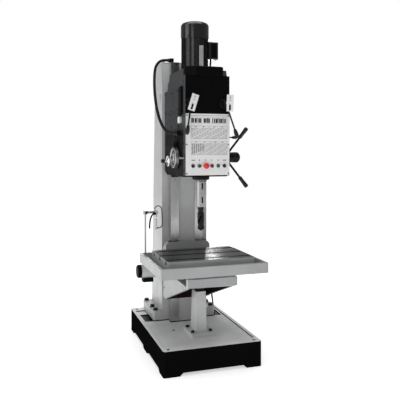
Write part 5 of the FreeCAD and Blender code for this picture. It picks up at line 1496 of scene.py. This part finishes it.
    def stop_rod(self) -> None:
        """Add the bright stop rod in front of the dial."""
        y, z = self.y, self.z
        profile = [(0.0042, 0.0), (0.0048, 0.0008), (0.0048, 0.085), (0.0068, 0.0856), (0.0068, 0.1020),
                   (0.0052, 0.1045), (0, 0.1045)]
        rod = Blank().turn(profile, Way.FRONT.at((-0.1730, y - 0.0845, z - 0.002)), 24)
        rod.slab((-0.1790, y - 0.118, z - 0.011), (-0.1636, y - 0.104, z + 0.007), 0.0015)
        rod.piece("stop_rod", TURNED, "head", "bright_steel")


# ---------------------------------------------------------------- studio


@dataclass
class Studio:
    """A pale floor, soft light and the camera."""

    floor_half: float = 14.0
    eye: Point = (-1.2807, -4.1102, 1.4974)
    heading: float = -18.31
    lens: float = 50.13
    rise: float = -0.12

    def camera(self) -> None:
        """Stand the camera level in front of the machine."""
        data = bpy.data.cameras.new("front_camera")
        data.lens = self.lens
        data.sensor_width = 36.0
        data.shift_y = self.rise
        data.clip_end = 60.0
        made = bpy.data.objects.new("front_camera", data)
        made.location = self.eye
        made.rotation_euler = (math.radians(90), 0, math.radians(self.heading))
        bpy.context.scene.collection.objects.link(made)
        bpy.context.scene.camera = made

    def floor(self) -> None:
        """Lay a wide pale floor."""
        data = bpy.data.meshes.new("studio_floor")
        half = self.floor_half
        corners = [(-half, -half, 0), (half, -half, 0), (half, half, 0), (-half, half, 0)]
        data.from_pydata(corners, [], [(0, 1, 2, 3)])
        tree = Tree("studio_floor")
        tone = tree.spread(tree.noise(1.2, 3.0), 0.90, 0.93)
        base = tree.blend(tone, (0.5, 0.5, 0.5), (0.94, 0.94, 0.94))
        tree.feed(tree.shader.inputs["Base Color"], base)
        tree.settle(Roughness=0.8, Specular_IOR_Level=0.15)
        away = tree.node("ShaderNodeVectorMath", operation="LENGTH")
        tree.links.new(tree.place, away.inputs[0])
        tree.shader.inputs["Emission Color"].default_value = (1, 1, 1, 1)
        glow = tree.spread(away.outputs["Value"], 0.58, 0.88, 0.8, 5.0)
        tree.feed(tree.shader.inputs["Emission Strength"], glow)
        data.materials.append(tree.material)
        made = bpy.data.objects.new("studio_floor", data)
        bpy.context.scene.collection.objects.link(made)

    def light(self, name: str, spot: Point, aim: Point, size: tuple[float, float], power: float) -> None:
        """Hang one soft box.

        Args:
            name: The light's name.
            spot: Where it hangs.
            aim: The point that it faces.
            size: Its width and height.
            power: Its power in watts.
        """
        data = bpy.data.lights.new(name, "AREA")
        data.shape = "RECTANGLE"
        data.size, data.size_y = size
        data.energy = power
        made = bpy.data.objects.new(name, data)
        made.location = spot
        made.rotation_euler = (Vector(aim) - Vector(spot)).to_track_quat("-Z", "Y").to_euler()
        made.visible_camera = False
        bpy.context.scene.collection.objects.link(made)

    def build(self) -> None:
        """Lay the floor, hang the lights and set the surroundings."""
        self.floor()
        self.light("key_box", (-4.6, -0.6, 2.3), (0, 0, 1.1), (2.4, 3.6), 50)
        self.light("front_box", (-3.6, -4.8, 2.6), (0, 0, 1.2), (1.8, 2.4), 22)
        self.light("top_box", (0.0, -0.4, 5.0), (0, 0, 0), (3.2, 3.2), 95)
        self.light("rear_box", (0.74, 3.60, 1.84), (0, -0.2, 0.8), (1.4, 0.26), 20)
        self.surround()

    def surround(self) -> None:
        """Set white surroundings that are dim to everything but the camera."""
        world = bpy.data.worlds.new("pale_surround")
        world.use_nodes = True
        tree = world.node_tree
        back = tree.nodes["Background"]
        back.inputs["Color"].default_value = (1, 1, 1, 1)
        path = tree.nodes.new("ShaderNodeLightPath")
        level = tree.nodes.new("ShaderNodeMapRange")
        level.inputs["To Min"].default_value = 0.25
        level.inputs["To Max"].default_value = 1.0
        tree.links.new(path.outputs["Is Camera Ray"], level.inputs["Value"])
        tree.links.new(level.outputs["Result"], back.inputs["Strength"])
        bpy.context.scene.world = world
        bpy.context.scene.view_settings.view_transform = "Standard"


def main() -> None:
    """Build the studio, the cables and then every sub-assembly."""
    logging.basicConfig(level=logging.INFO, format="%(name)s: %(message)s")
    studio = Studio()
    studio.camera()
    Wiring().build()
    for assembly in (Base(), Column(), Knee(), Coolant(), DrillHead(), Panel(), MainMotor(),
                     SpindleLine(), GearLevers(), FeedControls()):
        LOG.info("building %s", type(assembly).__name__)
        assembly.build()
    studio.build()


if __name__ == "__main__":
    main()
